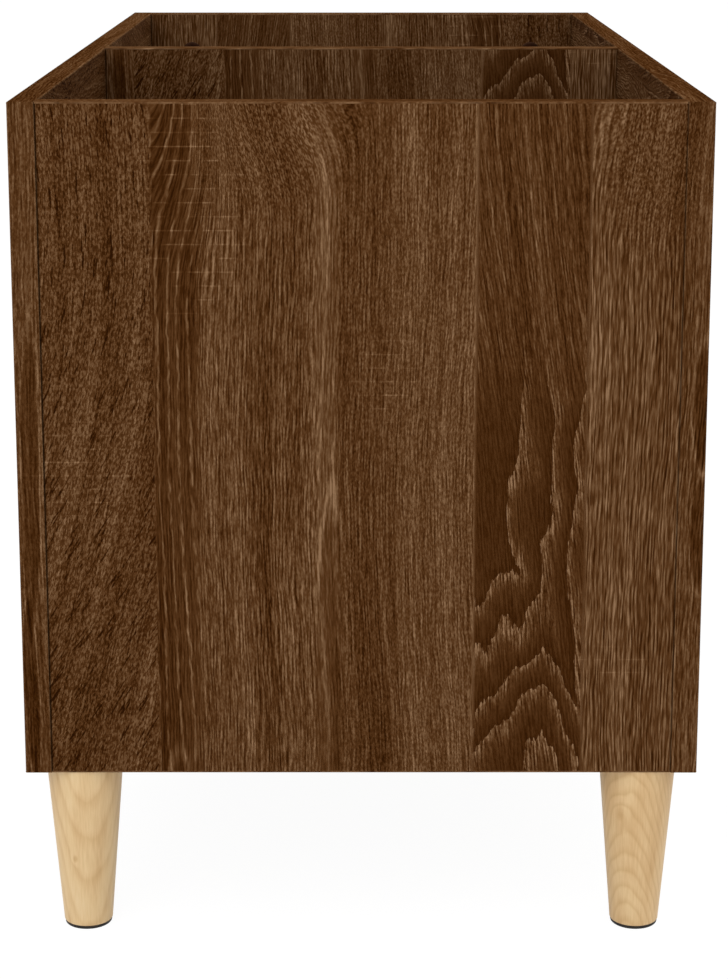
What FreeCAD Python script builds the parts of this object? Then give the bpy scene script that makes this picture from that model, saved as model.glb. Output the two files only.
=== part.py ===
"""Record cabinet: an open-topped box of melamine-faced boards on four tapered screw-in legs.

Millimetres. X runs along the length, the front board faces -Y, +Z is up. The origin lies on the floor,
under the middle of the box. The boards meet in butt joints, drawn together by cam locks and lined up
by wooden dowels, so that no fastener shows on the outside.
"""
import FreeCAD, Part
import Sketcher
import math
import os

SIZES = {
    # the box
    "length": 745,
    "depth": 380,
    "box_height": 380,
    "board": 15,
    "edging": 1,
    "edging_round": 0.6,
    # the legs and their pads
    "leg_height": 98,
    "leg_top_diameter": 44,
    "leg_foot_diameter": 28,
    "leg_foot_round": 1,
    "leg_from_long_board": 16,
    "leg_from_end_board": 8,
    "pad_thickness": 2,
    "pad_diameter": 27,
    "pad_round": 1,
    "nail_diameter": 2.4,
    "nail_in_leg": 14,
    "nail_point": 3,
    "nail_head_diameter": 8,
    "nail_head_thickness": 0.8,
    "nail_head_sink": 0.3,
    # the bolts that hold the legs
    "hanger_diameter": 6,
    "hanger_in_leg": 26,
    "hanger_point": 4,
    "insert_diameter": 10,
    "insert_length": 12,
    "insert_sink": 0.3,
    "insert_spare_thread": 1.3,
    # the cam locks, their bolts and caps
    "cam_diameter": 15,
    "cam_below_bolt": 4.8,
    "cam_reach": 34,
    "cam_inset": 32,
    "chamber_throw": 0.9,
    "cross_span": 9,
    "cross_width": 2,
    "cross_depth": 2.4,
    "bolt_in_face": 10,
    "bolt_thread_diameter": 6,
    "bolt_shank_diameter": 6.4,
    "bolt_neck_diameter": 4,
    "bolt_neck_lead": 3.5,
    "bolt_head_diameter": 6.4,
    "bolt_head_length": 3.6,
    "bolt_head_cone": 1.2,
    "cap_diameter": 17,
    "cap_thickness": 1,
    "cap_round": 0.6,
    # the dowels
    "dowel_diameter": 8,
    "dowel_in_edge": 19,
    "dowel_in_face": 10,
    "dowel_chamfer": 1,
    # where the joints lie along the boards
    "dowel_from_cam": 64,
    "bottom_cam_step": 230,
    "bottom_dowel_step": 115,
    "bottom_end_dowel_step": 80,
    # clearances
    "drill_gap": 0.1,
    "drill_depth_gap": 0.5,
    "cam_gap": 0.2,
}

# levels and planes that several pieces share, as expressions over the sheet
UNDERSIDE = "(size.pad_thickness + size.leg_height)"
FLOOR = f"({UNDERSIDE} + size.board)"
RIM = f"({UNDERSIDE} + size.box_height)"
BOTTOM_MIDDLE = f"({UNDERSIDE} + size.board/2)"
INNER_X = "(size.length/2 - size.board)"
INNER_Y = "(size.depth/2 - size.board)"
END_MIDDLE = "(size.length/2 - size.board/2)"
BOARD_MIDDLE = "(size.board/2)"
LEG_X = f"({INNER_X} - size.leg_from_end_board)"
LEG_Y = f"({INNER_Y} - size.leg_from_long_board)"
CAM_Y = f"({INNER_Y} - size.cam_reach)"
CAM_LEVELS = (f"({RIM} - size.cam_inset)", f"({FLOOR} + size.cam_inset)")
DOWEL_LEVELS = (
    f"({RIM} - size.cam_inset - size.dowel_from_cam)",
    f"({FLOOR} + size.cam_inset + size.dowel_from_cam)",
)
BOTTOM_CAM_PLACES = ("-size.bottom_cam_step", "0", "size.bottom_cam_step")
BOTTOM_DOWEL_PLACES = ("-size.bottom_dowel_step", "size.bottom_dowel_step")
END_DOWEL_PLACES = ("-size.bottom_end_dowel_step", "size.bottom_end_dowel_step")

# drilled sizes, each from the piece that goes in
CAM_HOLE = "size.cam_diameter"
CAM_DEPTH = "(size.board/2 + size.cam_below_bolt + size.cam_gap)"
THREAD_HOLE = "(size.bolt_thread_diameter + 2*size.drill_gap)"
THREAD_DEPTH = "(size.bolt_in_face + size.drill_depth_gap)"
SHANK_HOLE = "(size.bolt_shank_diameter + 2*size.drill_gap)"
DOWEL_HOLE = "(size.dowel_diameter + 2*size.drill_gap)"
DOWEL_EDGE_DEPTH = "(size.dowel_in_edge + size.drill_depth_gap)"
DOWEL_FACE_DEPTH = "(size.dowel_in_face + size.drill_depth_gap)"
INSERT_HOLE = "(size.insert_diameter + 2*size.drill_gap)"
INSERT_DEPTH = "(size.insert_sink + size.insert_length + size.drill_depth_gap)"
HANGER_IN_BOARD = "(size.insert_sink + size.insert_length - size.insert_spare_thread)"

doc = FreeCAD.newDocument("record_cabinet")
sheet = doc.addObject("Spreadsheet::Sheet", "size")
for row, (alias, number) in enumerate(SIZES.items(), start=1):
    sheet.set(f"A{row}", alias)
    sheet.set(f"B{row}", str(number))
    sheet.setAlias(f"B{row}", alias)
doc.recompute()

nodes = []


def value(expression):
    """The number that an expression over the sheet gives now."""
    return float(sheet.evalExpression(expression))


def negative(expression):
    return "0" if expression == "0" else f"-({expression})"


def new_body(label):
    body = doc.addObject("PartDesign::Body", label)
    body.Label = label
    return body


def as_node(piece):
    nodes.append(piece)
    return piece


def origin_plane(body, role):
    return next(feature for feature in body.Origin.OriginFeatures if feature.Role == role)


def sketch_on(body, role, name, offset="0"):
    """A sketch on one of the body's own planes, moved along the plane's normal."""
    sketch = body.newObject("Sketcher::SketchObject", f"{body.Name}_{name}")
    sketch.AttachmentSupport = (origin_plane(body, role), [""])
    sketch.MapMode = "FlatFace"
    if offset != "0":
        sketch.setExpression("AttachmentOffset.Base.z", offset)
    return sketch


def pin(sketch, geometry, point, x, y):
    """Hold one point of the sketch at x, y, which are expressions over the sheet."""
    for kind, expression, axis in (("DistanceX", x, -2), ("DistanceY", y, -1)):
        if expression == "0":
            sketch.addConstraint(Sketcher.Constraint("PointOnObject", geometry, point, axis))
            continue
        rule = Sketcher.Constraint(kind, -1, 1, geometry, point, value(expression))
        index = sketch.addConstraint(rule)
        sketch.setExpression(f"Constraints[{index}]", expression)


def quarter_arc(start, end, radius):
    """A short arc between two points that bulges to the right of the way from start to end."""
    chord = end - start
    half = chord.Length / 2
    rise = radius - math.sqrt(max(radius * radius - half * half, 0))
    side = FreeCAD.Vector(chord.y, -chord.x, 0).normalize()
    return Part.Arc(start, (start + end) * 0.5 + side * rise, end)


def outline(sketch, corners):
    """A closed line through corners (x, y). A corner (x, y, radius) is reached by an arc, taken
    anticlockwise round the shape."""
    points = [FreeCAD.Vector(value(corner[0]), value(corner[1]), 0) for corner in corners]
    count = len(corners)
    for index in range(count):
        after = (index + 1) % count
        if len(corners[after]) == 3:
            radius = corners[after][2]
            sketch.addGeometry(quarter_arc(points[index], points[after], value(radius)))
            rule = Sketcher.Constraint("Radius", index, value(radius))
            sketch.setExpression(f"Constraints[{sketch.addConstraint(rule)}]", radius)
        else:
            sketch.addGeometry(Part.LineSegment(points[index], points[after]))
    for index, corner in enumerate(corners):
        sketch.addConstraint(Sketcher.Constraint("Coincident", (index - 1) % count, 2, index, 1))
        pin(sketch, index, 1, corner[0], corner[1])


def rectangle(sketch, left, low, right, high):
    outline(sketch, [(left, low), (right, low), (right, high), (left, high)])


def circles(sketch, diameter, centres):
    for x, y in centres:
        centre = FreeCAD.Vector(value(x), value(y), 0)
        index = sketch.addGeometry(Part.Circle(centre, FreeCAD.Vector(0, 0, 1), value(diameter) / 2))
        pin(sketch, index, 3, x, y)
        rule = Sketcher.Constraint("Diameter", index, value(diameter))
        sketch.setExpression(f"Constraints[{sketch.addConstraint(rule)}]", diameter)


def pad(body, sketch, length, backwards=False):
    feature = body.newObject("PartDesign::Pad", f"{sketch.Name}_pad")
    feature.Profile = sketch
    feature.Reversed = backwards
    feature.setExpression("Length", length)
    doc.recompute()
    return feature


def pocket(body, sketch, depth, along_normal=False):
    """Cut the sketch into the body, against the sketch's normal unless told otherwise."""
    before = body.Shape.Volume
    feature = body.newObject("PartDesign::Pocket", f"{sketch.Name}_cut")
    feature.Profile = sketch
    feature.Reversed = along_normal
    feature.setExpression("Length", depth)
    doc.recompute()
    if body.Shape.Volume >= before:
        raise RuntimeError(f"{feature.Name} cuts nothing")
    return feature


def mirrored(body, feature, role):
    """Repeat a cut on the other side of one of the body's planes."""
    before = body.Shape.Volume
    copy = body.newObject("PartDesign::Mirrored", f"{feature.Name}_mirrored")
    copy.Originals = [feature]
    copy.MirrorPlane = (origin_plane(body, role), [""])
    body.Tip = copy
    doc.recompute()
    if body.Shape.Volume >= before:
        raise RuntimeError(f"{copy.Name} cuts nothing")


def revolved(label, corners):
    """A turned piece. Its half section has the radius as x and the height as y."""
    body = new_body(label)
    sketch = sketch_on(body, "XZ_Plane", "section")
    outline(sketch, corners)
    turn = body.newObject("PartDesign::Revolution", f"{body.Name}_turned")
    turn.Profile = sketch
    turn.ReferenceAxis = (sketch, ["V_Axis"])
    turn.Angle = 360
    doc.recompute()
    return body


def turned_to(x_direction, z_direction):
    """The turn that brings a piece's own X and Z to these directions."""
    own_x, own_z = FreeCAD.Vector(*x_direction), FreeCAD.Vector(*z_direction)
    return FreeCAD.Rotation(own_x, own_z.cross(own_x), own_z, "ZXY")


def place(piece, x, y, z, rotation=None):
    if rotation is not None:
        piece.Placement = FreeCAD.Placement(FreeCAD.Vector(), rotation)
    for axis, expression in zip("xyz", (x, y, z)):
        if expression != "0":
            piece.setExpression(f"Placement.Base.{axis}", expression)
    return piece


def set_of(label, master, places):
    """One node of several equal pieces: each place is (x, y, z, rotation)."""
    links = []
    for number, spot in enumerate(places, start=1):
        link = doc.addObject("App::Link", f"{label}_{number}")
        link.LinkedObject = master
        links.append(place(link, *spot))
    return joined(label, links)


def joined(label, pieces):
    compound = doc.addObject("Part::Compound", label)
    compound.Label = label
    compound.Links = pieces
    return as_node(compound)


# directions along and against the three axes
ALONG_X, AGAINST_X = (1, 0, 0), (-1, 0, 0)
ALONG_Y, AGAINST_Y = (0, 1, 0), (0, -1, 0)
ALONG_Z, AGAINST_Z = (0, 0, 1), (0, 0, -1)


def long_panel(label, side):
    """A long board, drawn on its inner face, with the drillings for the cam bolts and dowels.
    Side is -1 at the front and 1 at the back."""
    body = as_node(new_body(label))
    half = "size.length/2 - size.edging"
    low, high = f"{UNDERSIDE} + size.edging", f"{RIM} - size.edging"
    sheet_outline = sketch_on(body, "XY_Plane", "outline")
    rectangle(sheet_outline, negative(half), low, half, high)
    pad(body, sheet_outline, "size.board")
    joints = (negative(END_MIDDLE), "0", END_MIDDLE)
    bolts = [(x, level) for x in joints for level in CAM_LEVELS]
    bolts += [(x, BOTTOM_MIDDLE) for x in BOTTOM_CAM_PLACES]
    dowels = [(x, level) for x in joints for level in DOWEL_LEVELS]
    dowels += [(x, BOTTOM_MIDDLE) for x in BOTTOM_DOWEL_PLACES]
    bolt_holes = sketch_on(body, "XY_Plane", "bolt_holes")
    circles(bolt_holes, THREAD_HOLE, bolts)
    pocket(body, bolt_holes, THREAD_DEPTH, along_normal=True)
    dowel_holes = sketch_on(body, "XY_Plane", "dowel_holes")
    circles(dowel_holes, DOWEL_HOLE, dowels)
    pocket(body, dowel_holes, DOWEL_FACE_DEPTH, along_normal=True)
    if side < 0:
        return place(body, "0", negative(INNER_Y), "0", turned_to(ALONG_X, AGAINST_Y))
    return place(body, "0", INNER_Y, "0", turned_to(AGAINST_X, ALONG_Y))


def cross_panel(label, low, bottom_dowels):
    """A board between the long ones, drawn on the face that takes the cams. Both its side edges
    are drilled for the cam bolts and the dowels."""
    body = as_node(new_body(label))
    high = f"{RIM} - size.edging"
    sheet_outline = sketch_on(body, "XY_Plane", "outline")
    rectangle(sheet_outline, negative(INNER_Y), low, INNER_Y, high)
    pad(body, sheet_outline, "size.board")
    cam_holes = sketch_on(body, "XY_Plane", "cam_holes")
    circles(cam_holes, CAM_HOLE, [(y, z) for y in (negative(CAM_Y), CAM_Y) for z in CAM_LEVELS])
    pocket(body, cam_holes, CAM_DEPTH, along_normal=True)
    bolt_holes = sketch_on(body, "YZ_Plane", "bolt_holes", INNER_Y)
    circles(bolt_holes, SHANK_HOLE, [(z, BOARD_MIDDLE) for z in CAM_LEVELS])
    mirrored(body, pocket(body, bolt_holes, "size.cam_reach"), "YZ_Plane")
    dowel_holes = sketch_on(body, "YZ_Plane", "dowel_holes", INNER_Y)
    circles(dowel_holes, DOWEL_HOLE, [(z, BOARD_MIDDLE) for z in DOWEL_LEVELS])
    mirrored(body, pocket(body, dowel_holes, DOWEL_EDGE_DEPTH), "YZ_Plane")
    bottom_dowels(body)
    return body


def end_panel(label, side):
    """An end board. Side is -1 at the left and 1 at the right."""

    def bottom_dowels(body):
        holes = sketch_on(body, "XY_Plane", "bottom_dowel_holes")
        circles(holes, DOWEL_HOLE, [(y, BOTTOM_MIDDLE) for y in END_DOWEL_PLACES])
        pocket(body, holes, DOWEL_FACE_DEPTH, along_normal=True)

    body = cross_panel(label, f"{UNDERSIDE} + size.edging", bottom_dowels)
    if side > 0:
        return place(body, INNER_X, "0", "0", turned_to(ALONG_Y, ALONG_X))
    return place(body, negative(INNER_X), "0", "0", turned_to(AGAINST_Y, AGAINST_X))


def centre_divider():
    """The divider stands on the bottom board. Its cams are in the face towards the left end."""

    def bottom_dowels(body):
        holes = sketch_on(body, "XZ_Plane", "bottom_dowel_holes", negative(FLOOR))
        circles(holes, DOWEL_HOLE, [(y, BOARD_MIDDLE) for y in END_DOWEL_PLACES])
        pocket(body, holes, DOWEL_EDGE_DEPTH)

    body = cross_panel("centre_divider", FLOOR, bottom_dowels)
    return place(body, negative(BOARD_MIDDLE), "0", "0", turned_to(ALONG_Y, ALONG_X))


def bottom_panel():
    """The bottom board, drawn on its underside, where its cams and the inserts for the legs go in."""
    body = as_node(new_body("bottom_panel"))
    sheet_outline = sketch_on(body, "XY_Plane", "outline")
    rectangle(sheet_outline, negative(INNER_X), negative(INNER_Y), INNER_X, INNER_Y)
    pad(body, sheet_outline, "size.board")
    cam_holes = sketch_on(body, "XY_Plane", "cam_holes")
    circles(cam_holes, CAM_HOLE, [(x, y) for x in BOTTOM_CAM_PLACES for y in (negative(CAM_Y), CAM_Y)])
    pocket(body, cam_holes, CAM_DEPTH, along_normal=True)
    insert_holes = sketch_on(body, "XY_Plane", "insert_holes")
    corners = [(x, y) for x in (negative(LEG_X), LEG_X) for y in (negative(LEG_Y), LEG_Y)]
    circles(insert_holes, INSERT_HOLE, corners)
    pocket(body, insert_holes, INSERT_DEPTH, along_normal=True)
    bolt_holes = sketch_on(body, "XZ_Plane", "bolt_holes", INNER_Y)
    circles(bolt_holes, SHANK_HOLE, [(x, BOARD_MIDDLE) for x in BOTTOM_CAM_PLACES])
    mirrored(body, pocket(body, bolt_holes, "size.cam_reach"), "XZ_Plane")
    dowel_holes = sketch_on(body, "XZ_Plane", "dowel_holes", INNER_Y)
    circles(dowel_holes, DOWEL_HOLE, [(x, BOARD_MIDDLE) for x in BOTTOM_DOWEL_PLACES])
    mirrored(body, pocket(body, dowel_holes, DOWEL_EDGE_DEPTH), "XZ_Plane")
    end_holes = sketch_on(body, "YZ_Plane", "end_dowel_holes", INNER_X)
    circles(end_holes, DOWEL_HOLE, [(y, BOARD_MIDDLE) for y in END_DOWEL_PLACES])
    mirrored(body, pocket(body, end_holes, DOWEL_EDGE_DEPTH), "YZ_Plane")
    divider_holes = sketch_on(body, "XY_Plane", "divider_dowel_holes", "size.board")
    circles(divider_holes, DOWEL_HOLE, [("0", y) for y in END_DOWEL_PLACES])
    pocket(body, divider_holes, DOWEL_FACE_DEPTH)
    return place(body, "0", "0", UNDERSIDE)


def edging_strip(name, run):
    """A glued strip: its section has both outer corners rounded, and it runs up its own Z.
    Its own Y points out of the board's edge."""
    body = new_body(name)
    section = sketch_on(body, "XY_Plane", "section")
    half = "size.board/2"
    shoulder, inset = "size.edging - size.edging_round", "size.board/2 - size.edging_round"
    outline(section, [
        (negative(half), "0"),
        (half, "0"),
        (half, shoulder),
        (inset, "size.edging", "size.edging_round"),
        (negative(inset), "size.edging"),
        (negative(half), shoulder, "size.edging_round"),
    ])
    pad(body, section, run)
    return body


def long_edging(label, side):
    """Strips on all four edges of a long board: the level ones run past the upright ones."""
    y = f"{side}*(size.depth/2 - size.board/2)"
    along_top = turned_to(ALONG_Y, ALONG_X)
    along_bottom = turned_to(AGAINST_Y, ALONG_X)
    upright = f"{UNDERSIDE} + size.edging"
    start = "-size.length/2"
    strips = [
        place(edging_strip(f"{label}_top", "size.length"), start, y, f"{RIM} - size.edging", along_top),
        place(edging_strip(f"{label}_bottom", "size.length"), start, y, upright, along_bottom),
    ]
    for end, x, facing in (("left", "-(size.length/2 - size.edging)", ALONG_Y),
                           ("right", "size.length/2 - size.edging", AGAINST_Y)):
        strip = edging_strip(f"{label}_{end}", "size.box_height - 2*size.edging")
        strips.append(place(strip, x, y, upright, turned_to(facing, ALONG_Z)))
    return joined(label, strips)


def cross_edging(label, x, with_bottom):
    """Strips on the top edge, and on an end board's bottom edge too, between the long boards."""
    run, start = f"2*{INNER_Y}", negative(INNER_Y)
    top = edging_strip(f"{label}_top", run)
    strips = [place(top, x, start, f"{RIM} - size.edging", turned_to(AGAINST_X, ALONG_Y))]
    if with_bottom:
        bottom = edging_strip(f"{label}_bottom", run)
        strips.append(place(bottom, x, start, f"{UNDERSIDE} + size.edging", turned_to(ALONG_X, ALONG_Y)))
    return joined(label, strips)


def leg(label):
    """A straight taper, turned, with a bore for the hanger bolt above and the pad's nail below."""
    foot, top = "size.leg_foot_diameter/2", "size.leg_top_diameter/2"
    nail_bore, nail_end = "size.nail_diameter/2 + size.drill_gap", "size.nail_in_leg + size.drill_depth_gap"
    bolt_bore = "size.hanger_diameter/2 + size.drill_gap"
    bolt_end = "size.leg_height - size.hanger_in_leg - size.drill_depth_gap"
    return as_node(revolved(label, [
        (nail_bore, "0"),
        (f"{foot} - size.leg_foot_round", "0"),
        (foot, "size.leg_foot_round", "size.leg_foot_round"),
        (top, "size.leg_height"),
        (bolt_bore, "size.leg_height"),
        (bolt_bore, bolt_end),
        ("0", bolt_end),
        ("0", nail_end),
        (nail_bore, nail_end),
    ]))


def foot_pad(label):
    """A thin pad with a rounded lower edge and a countersink for the nail's head."""
    rim, shank = "size.pad_diameter/2", "size.nail_diameter/2 + size.drill_gap"
    recess = "size.nail_head_diameter/2 + size.drill_gap"
    seat = "size.nail_head_sink + size.nail_head_thickness + size.drill_gap"
    return as_node(revolved(label, [
        (recess, "0"),
        (f"{rim} - size.pad_round", "0"),
        (rim, "size.pad_round", "size.pad_round"),
        (rim, "size.pad_thickness"),
        (shank, "size.pad_thickness"),
        (shank, seat),
        (recess, seat),
    ]))


def foot_nail():
    """A flat-headed nail, standing head down on the floor level."""
    head, shank = "size.nail_head_diameter/2", "size.nail_diameter/2"
    under_head = "size.nail_head_sink + size.nail_head_thickness"
    tip = "size.pad_thickness + size.nail_in_leg"
    return revolved("foot_nail", [
        ("0", "size.nail_head_sink"),
        (head, "size.nail_head_sink"),
        (head, under_head),
        (shank, under_head),
        (shank, f"{tip} - size.nail_point"),
        ("0", tip),
    ])


def hanger_bolt():
    """The leg's bolt: pointed below, where it goes into the leg. Its zero is the top of the leg."""
    radius = "size.hanger_diameter/2"
    return revolved("hanger_bolt", [
        ("0", "-size.hanger_in_leg"),
        (radius, "-(size.hanger_in_leg - size.hanger_point)"),
        (radius, f"{HANGER_IN_BOARD} - {radius}/3"),
        (f"{radius}*2/3", HANGER_IN_BOARD),
        ("0", HANGER_IN_BOARD),
    ])


def insert_nut():
    """A threaded sleeve, sunk just under the bottom board's lower face."""
    bore, outside = "size.hanger_diameter/2 + size.drill_gap", "size.insert_diameter/2"
    lead = "size.insert_diameter/20"
    low, high = "size.insert_sink", "size.insert_sink + size.insert_length"
    return revolved("insert_nut", [
        (f"{bore} + {lead}", low),
        (outside, low),
        (outside, f"{high} - {lead}"),
        (f"{outside} - {lead}", high),
        (bore, high),
        (bore, f"{low} + {lead}"),
    ])


def cam_bolt():
    """The bolt that a cam grips: threaded below zero, which is the inner face of the long board, then
    a shank, a neck that passes the cam's slot, and a coned head inside the cam."""
    thread, shank = "size.bolt_thread_diameter/2", "size.bolt_shank_diameter/2"
    neck, head = "size.bolt_neck_diameter/2", "size.bolt_head_diameter/2"
    end = "size.cam_reach + size.cam_gap"
    shoulder = f"{end} - size.bolt_head_length"
    neck_start = "(size.cam_reach - size.cam_diameter/2 - size.bolt_neck_lead)"
    slope = "size.bolt_shank_diameter/2 - size.bolt_neck_diameter/2"
    return revolved("cam_bolt", [
        ("0", "-size.bolt_in_face"),
        (f"{thread}*2/3", "-size.bolt_in_face"),
        (thread, f"-size.bolt_in_face + {thread}/2"),
        (thread, "0"),
        (shank, "0"),
        (shank, f"{neck_start} - ({slope})"),
        (neck, neck_start),
        (neck, shoulder),
        (head, f"{shoulder} + size.bolt_head_cone"),
        (head, f"{end} - size.bolt_head_cone"),
        (neck, end),
        ("0", end),
    ])


def cam_lock():
    """The cam, locked. Its face is at zero and it reaches down into the board. The bolt comes in
    along its own X: the head sits in an off-centre chamber whose wall draws it in as the cam turns,
    and the neck lies in a slot that runs round to the mouth, where the head went in."""
    body = new_body("cam_lock")
    across = "2*(size.cam_diameter/2 - size.drill_gap)"
    disc = sketch_on(body, "XY_Plane", "disc")
    circles(disc, across, [("0", "0")])
    pad(body, disc, "size.board/2 + size.cam_below_bolt", backwards=True)
    head_room = "(size.bolt_head_diameter/2 + size.cam_gap)"
    neck_room = "(size.bolt_neck_diameter/2 + size.cam_gap)"
    chamber_top, slot_top = f"-(size.board/2 - {head_room})", f"-(size.board/2 - {neck_room})"
    head_corner = "(size.bolt_head_length - size.cam_gap - size.bolt_head_cone + size.chamber_throw)"
    head_sweep = f"sqrt({head_corner}*{head_corner} + size.bolt_head_diameter*size.bolt_head_diameter/4)"
    chamber = sketch_on(body, "XY_Plane", "chamber", chamber_top)
    circles(chamber, f"2*({head_sweep} + 2*size.cam_gap)", [("-size.chamber_throw", "0")])
    pocket(body, chamber, f"2*{head_room}")
    mouth = sketch_on(body, "XY_Plane", "mouth", chamber_top)
    rectangle(mouth, "-size.cam_diameter", negative(head_room), "-size.chamber_throw", head_room)
    pocket(body, mouth, f"2*{head_room}")
    slot = sketch_on(body, "XY_Plane", "slot", slot_top)
    outline(slot, [
        ("0", negative(neck_room)),
        ("size.cam_diameter", negative(neck_room)),
        ("size.cam_diameter", "size.cam_diameter"),
        ("-size.cam_diameter", "size.cam_diameter"),
        ("-size.cam_diameter", "0"),
        ("0", "0"),
    ])
    pocket(body, slot, f"2*{neck_room}")
    cross = sketch_on(body, "XY_Plane", "cross")
    arm, half = "size.cross_span/2", "size.cross_width/2"
    outline(cross, [
        (arm, negative(half)),
        (arm, half),
        (half, half),
        (half, arm),
        (negative(half), arm),
        (negative(half), half),
        (negative(arm), half),
        (negative(arm), negative(half)),
        (negative(half), negative(half)),
        (negative(half), negative(arm)),
        (half, negative(arm)),
        (half, negative(half)),
    ])
    pocket(body, cross, "size.cross_depth")
    return body


def cam_cap():
    """A thin cap over a cam and its recess, with a stem that plugs into the cross of the cam."""
    rim, stem = "size.cap_diameter/2", "size.cross_width/2 - size.drill_gap"
    stem_end = "-(size.cross_depth - size.drill_depth_gap)"
    return revolved("cam_cap", [
        ("0", stem_end),
        (stem, stem_end),
        (stem, "0"),
        (rim, "0"),
        (rim, "size.cap_thickness - size.cap_round"),
        (f"{rim} - size.cap_round", "size.cap_thickness", "size.cap_round"),
        ("0", "size.cap_thickness"),
    ])


def wood_dowel():
    """A dowel with chamfered ends. Its zero is the joint, and it goes further into the edge above."""
    radius, chamfer = "size.dowel_diameter/2", "size.dowel_chamfer"
    return revolved("wood_dowel", [
        ("0", "-size.dowel_in_face"),
        (f"{radius} - {chamfer}", "-size.dowel_in_face"),
        (radius, f"-size.dowel_in_face + {chamfer}"),
        (radius, f"size.dowel_in_edge - {chamfer}"),
        (f"{radius} - {chamfer}", "size.dowel_in_edge"),
        ("0", "size.dowel_in_edge"),
    ])


# the two long boards, and which way is inwards from each
LONG_SIDES = ((negative(INNER_Y), ALONG_Y), (INNER_Y, AGAINST_Y))


def cross_fittings(label, face_x, face_direction, middle_x, cam, bolt, cap, dowel, bottom_dowel_places):
    """Cams, bolts, caps and dowels of a board between the long ones. Its cams are in the face at
    face_x, which looks along face_direction."""
    cams, bolts, dowels = [], [], []
    for inner_y, inwards in LONG_SIDES:
        outwards = tuple(-part for part in inwards)
        cam_y = negative(CAM_Y) if inwards == ALONG_Y else CAM_Y
        cams += [(face_x, cam_y, level, turned_to(outwards, face_direction)) for level in CAM_LEVELS]
        along = turned_to(ALONG_Z, inwards)
        bolts += [(middle_x, inner_y, level, along) for level in CAM_LEVELS]
        dowels += [(middle_x, inner_y, level, along) for level in DOWEL_LEVELS]
    set_of(f"{label}_cams", cam, cams)
    set_of(f"{label}_cam_bolts", bolt, bolts)
    set_of(f"{label}_cam_caps", cap, cams)
    set_of(f"{label}_dowels", dowel, dowels + bottom_dowel_places)


def bottom_fittings(cam, bolt, dowel):
    """Cams, bolts and dowels between the bottom board and the long boards."""
    cams, bolts, dowels = [], [], []
    for inner_y, inwards in LONG_SIDES:
        outwards = tuple(-part for part in inwards)
        cam_y = negative(CAM_Y) if inwards == ALONG_Y else CAM_Y
        along = turned_to(ALONG_Z, inwards)
        cams += [(x, cam_y, UNDERSIDE, turned_to(outwards, AGAINST_Z)) for x in BOTTOM_CAM_PLACES]
        bolts += [(x, inner_y, BOTTOM_MIDDLE, along) for x in BOTTOM_CAM_PLACES]
        dowels += [(x, inner_y, BOTTOM_MIDDLE, along) for x in BOTTOM_DOWEL_PLACES]
    set_of("bottom_cams", cam, cams)
    set_of("bottom_cam_bolts", bolt, bolts)
    set_of("bottom_dowels", dowel, dowels)


def legs():
    """Four legs with their pads, and the bolts, inserts and nails that hold them."""
    corners = []
    for depth_name, y in (("front", negative(LEG_Y)), ("back", LEG_Y)):
        for side_name, x in (("left", negative(LEG_X)), ("right", LEG_X)):
            place(leg(f"leg_{depth_name}_{side_name}"), x, y, "size.pad_thickness")
            place(foot_pad(f"foot_pad_{depth_name}_{side_name}"), x, y, "0")
            corners.append((x, y))
    set_of("foot_nails", foot_nail(), [(x, y, "0") for x, y in corners])
    set_of("leg_hanger_bolts", hanger_bolt(), [(x, y, UNDERSIDE) for x, y in corners])
    set_of("leg_insert_nuts", insert_nut(), [(x, y, UNDERSIDE) for x, y in corners])


def boards():
    long_panel("front_panel", -1)
    long_panel("back_panel", 1)
    end_panel("left_end_panel", -1)
    end_panel("right_end_panel", 1)
    centre_divider()
    bottom_panel()
    long_edging("front_panel_edging", -1)
    long_edging("back_panel_edging", 1)
    cross_edging("left_end_edging", negative(END_MIDDLE), with_bottom=True)
    cross_edging("right_end_edging", END_MIDDLE, with_bottom=True)
    cross_edging("divider_edging", "0", with_bottom=False)


def fittings():
    cam, bolt, cap, dowel = cam_lock(), cam_bolt(), cam_cap(), wood_dowel()

    def into_end(x, direction):
        return [(x, y, BOTTOM_MIDDLE, turned_to(ALONG_Z, direction)) for y in END_DOWEL_PLACES]

    under_divider = [("0", y, FLOOR, turned_to(ALONG_X, ALONG_Z)) for y in END_DOWEL_PLACES]
    left_x, right_x = negative(INNER_X), INNER_X
    cross_fittings("left_end", left_x, ALONG_X, negative(END_MIDDLE),
                   cam, bolt, cap, dowel, into_end(left_x, ALONG_X))
    cross_fittings("right_end", right_x, AGAINST_X, END_MIDDLE,
                   cam, bolt, cap, dowel, into_end(right_x, AGAINST_X))
    cross_fittings("divider", negative(BOARD_MIDDLE), AGAINST_X, "0",
                   cam, bolt, cap, dowel, under_divider)
    bottom_fittings(cam, bolt, dowel)


boards()
fittings()
legs()
doc.recompute()

for piece in doc.Objects:
    if "Invalid" in piece.State or "Error" in piece.State:
        raise RuntimeError(f"{piece.Name} did not build: {piece.State}")
for node in nodes:
    if node.Shape.isNull() or not node.Shape.isValid():
        raise RuntimeError(f"{node.Label} has no valid shape")

os.makedirs("parts", exist_ok=True)
for node in nodes:
    node.Shape.exportStep(f"parts/{node.Label}.step")
    print(node.Label, len(node.Shape.Solids), round(node.Shape.Volume, 2))
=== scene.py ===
import bpy
import math
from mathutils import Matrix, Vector
from types import SimpleNamespace


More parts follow.
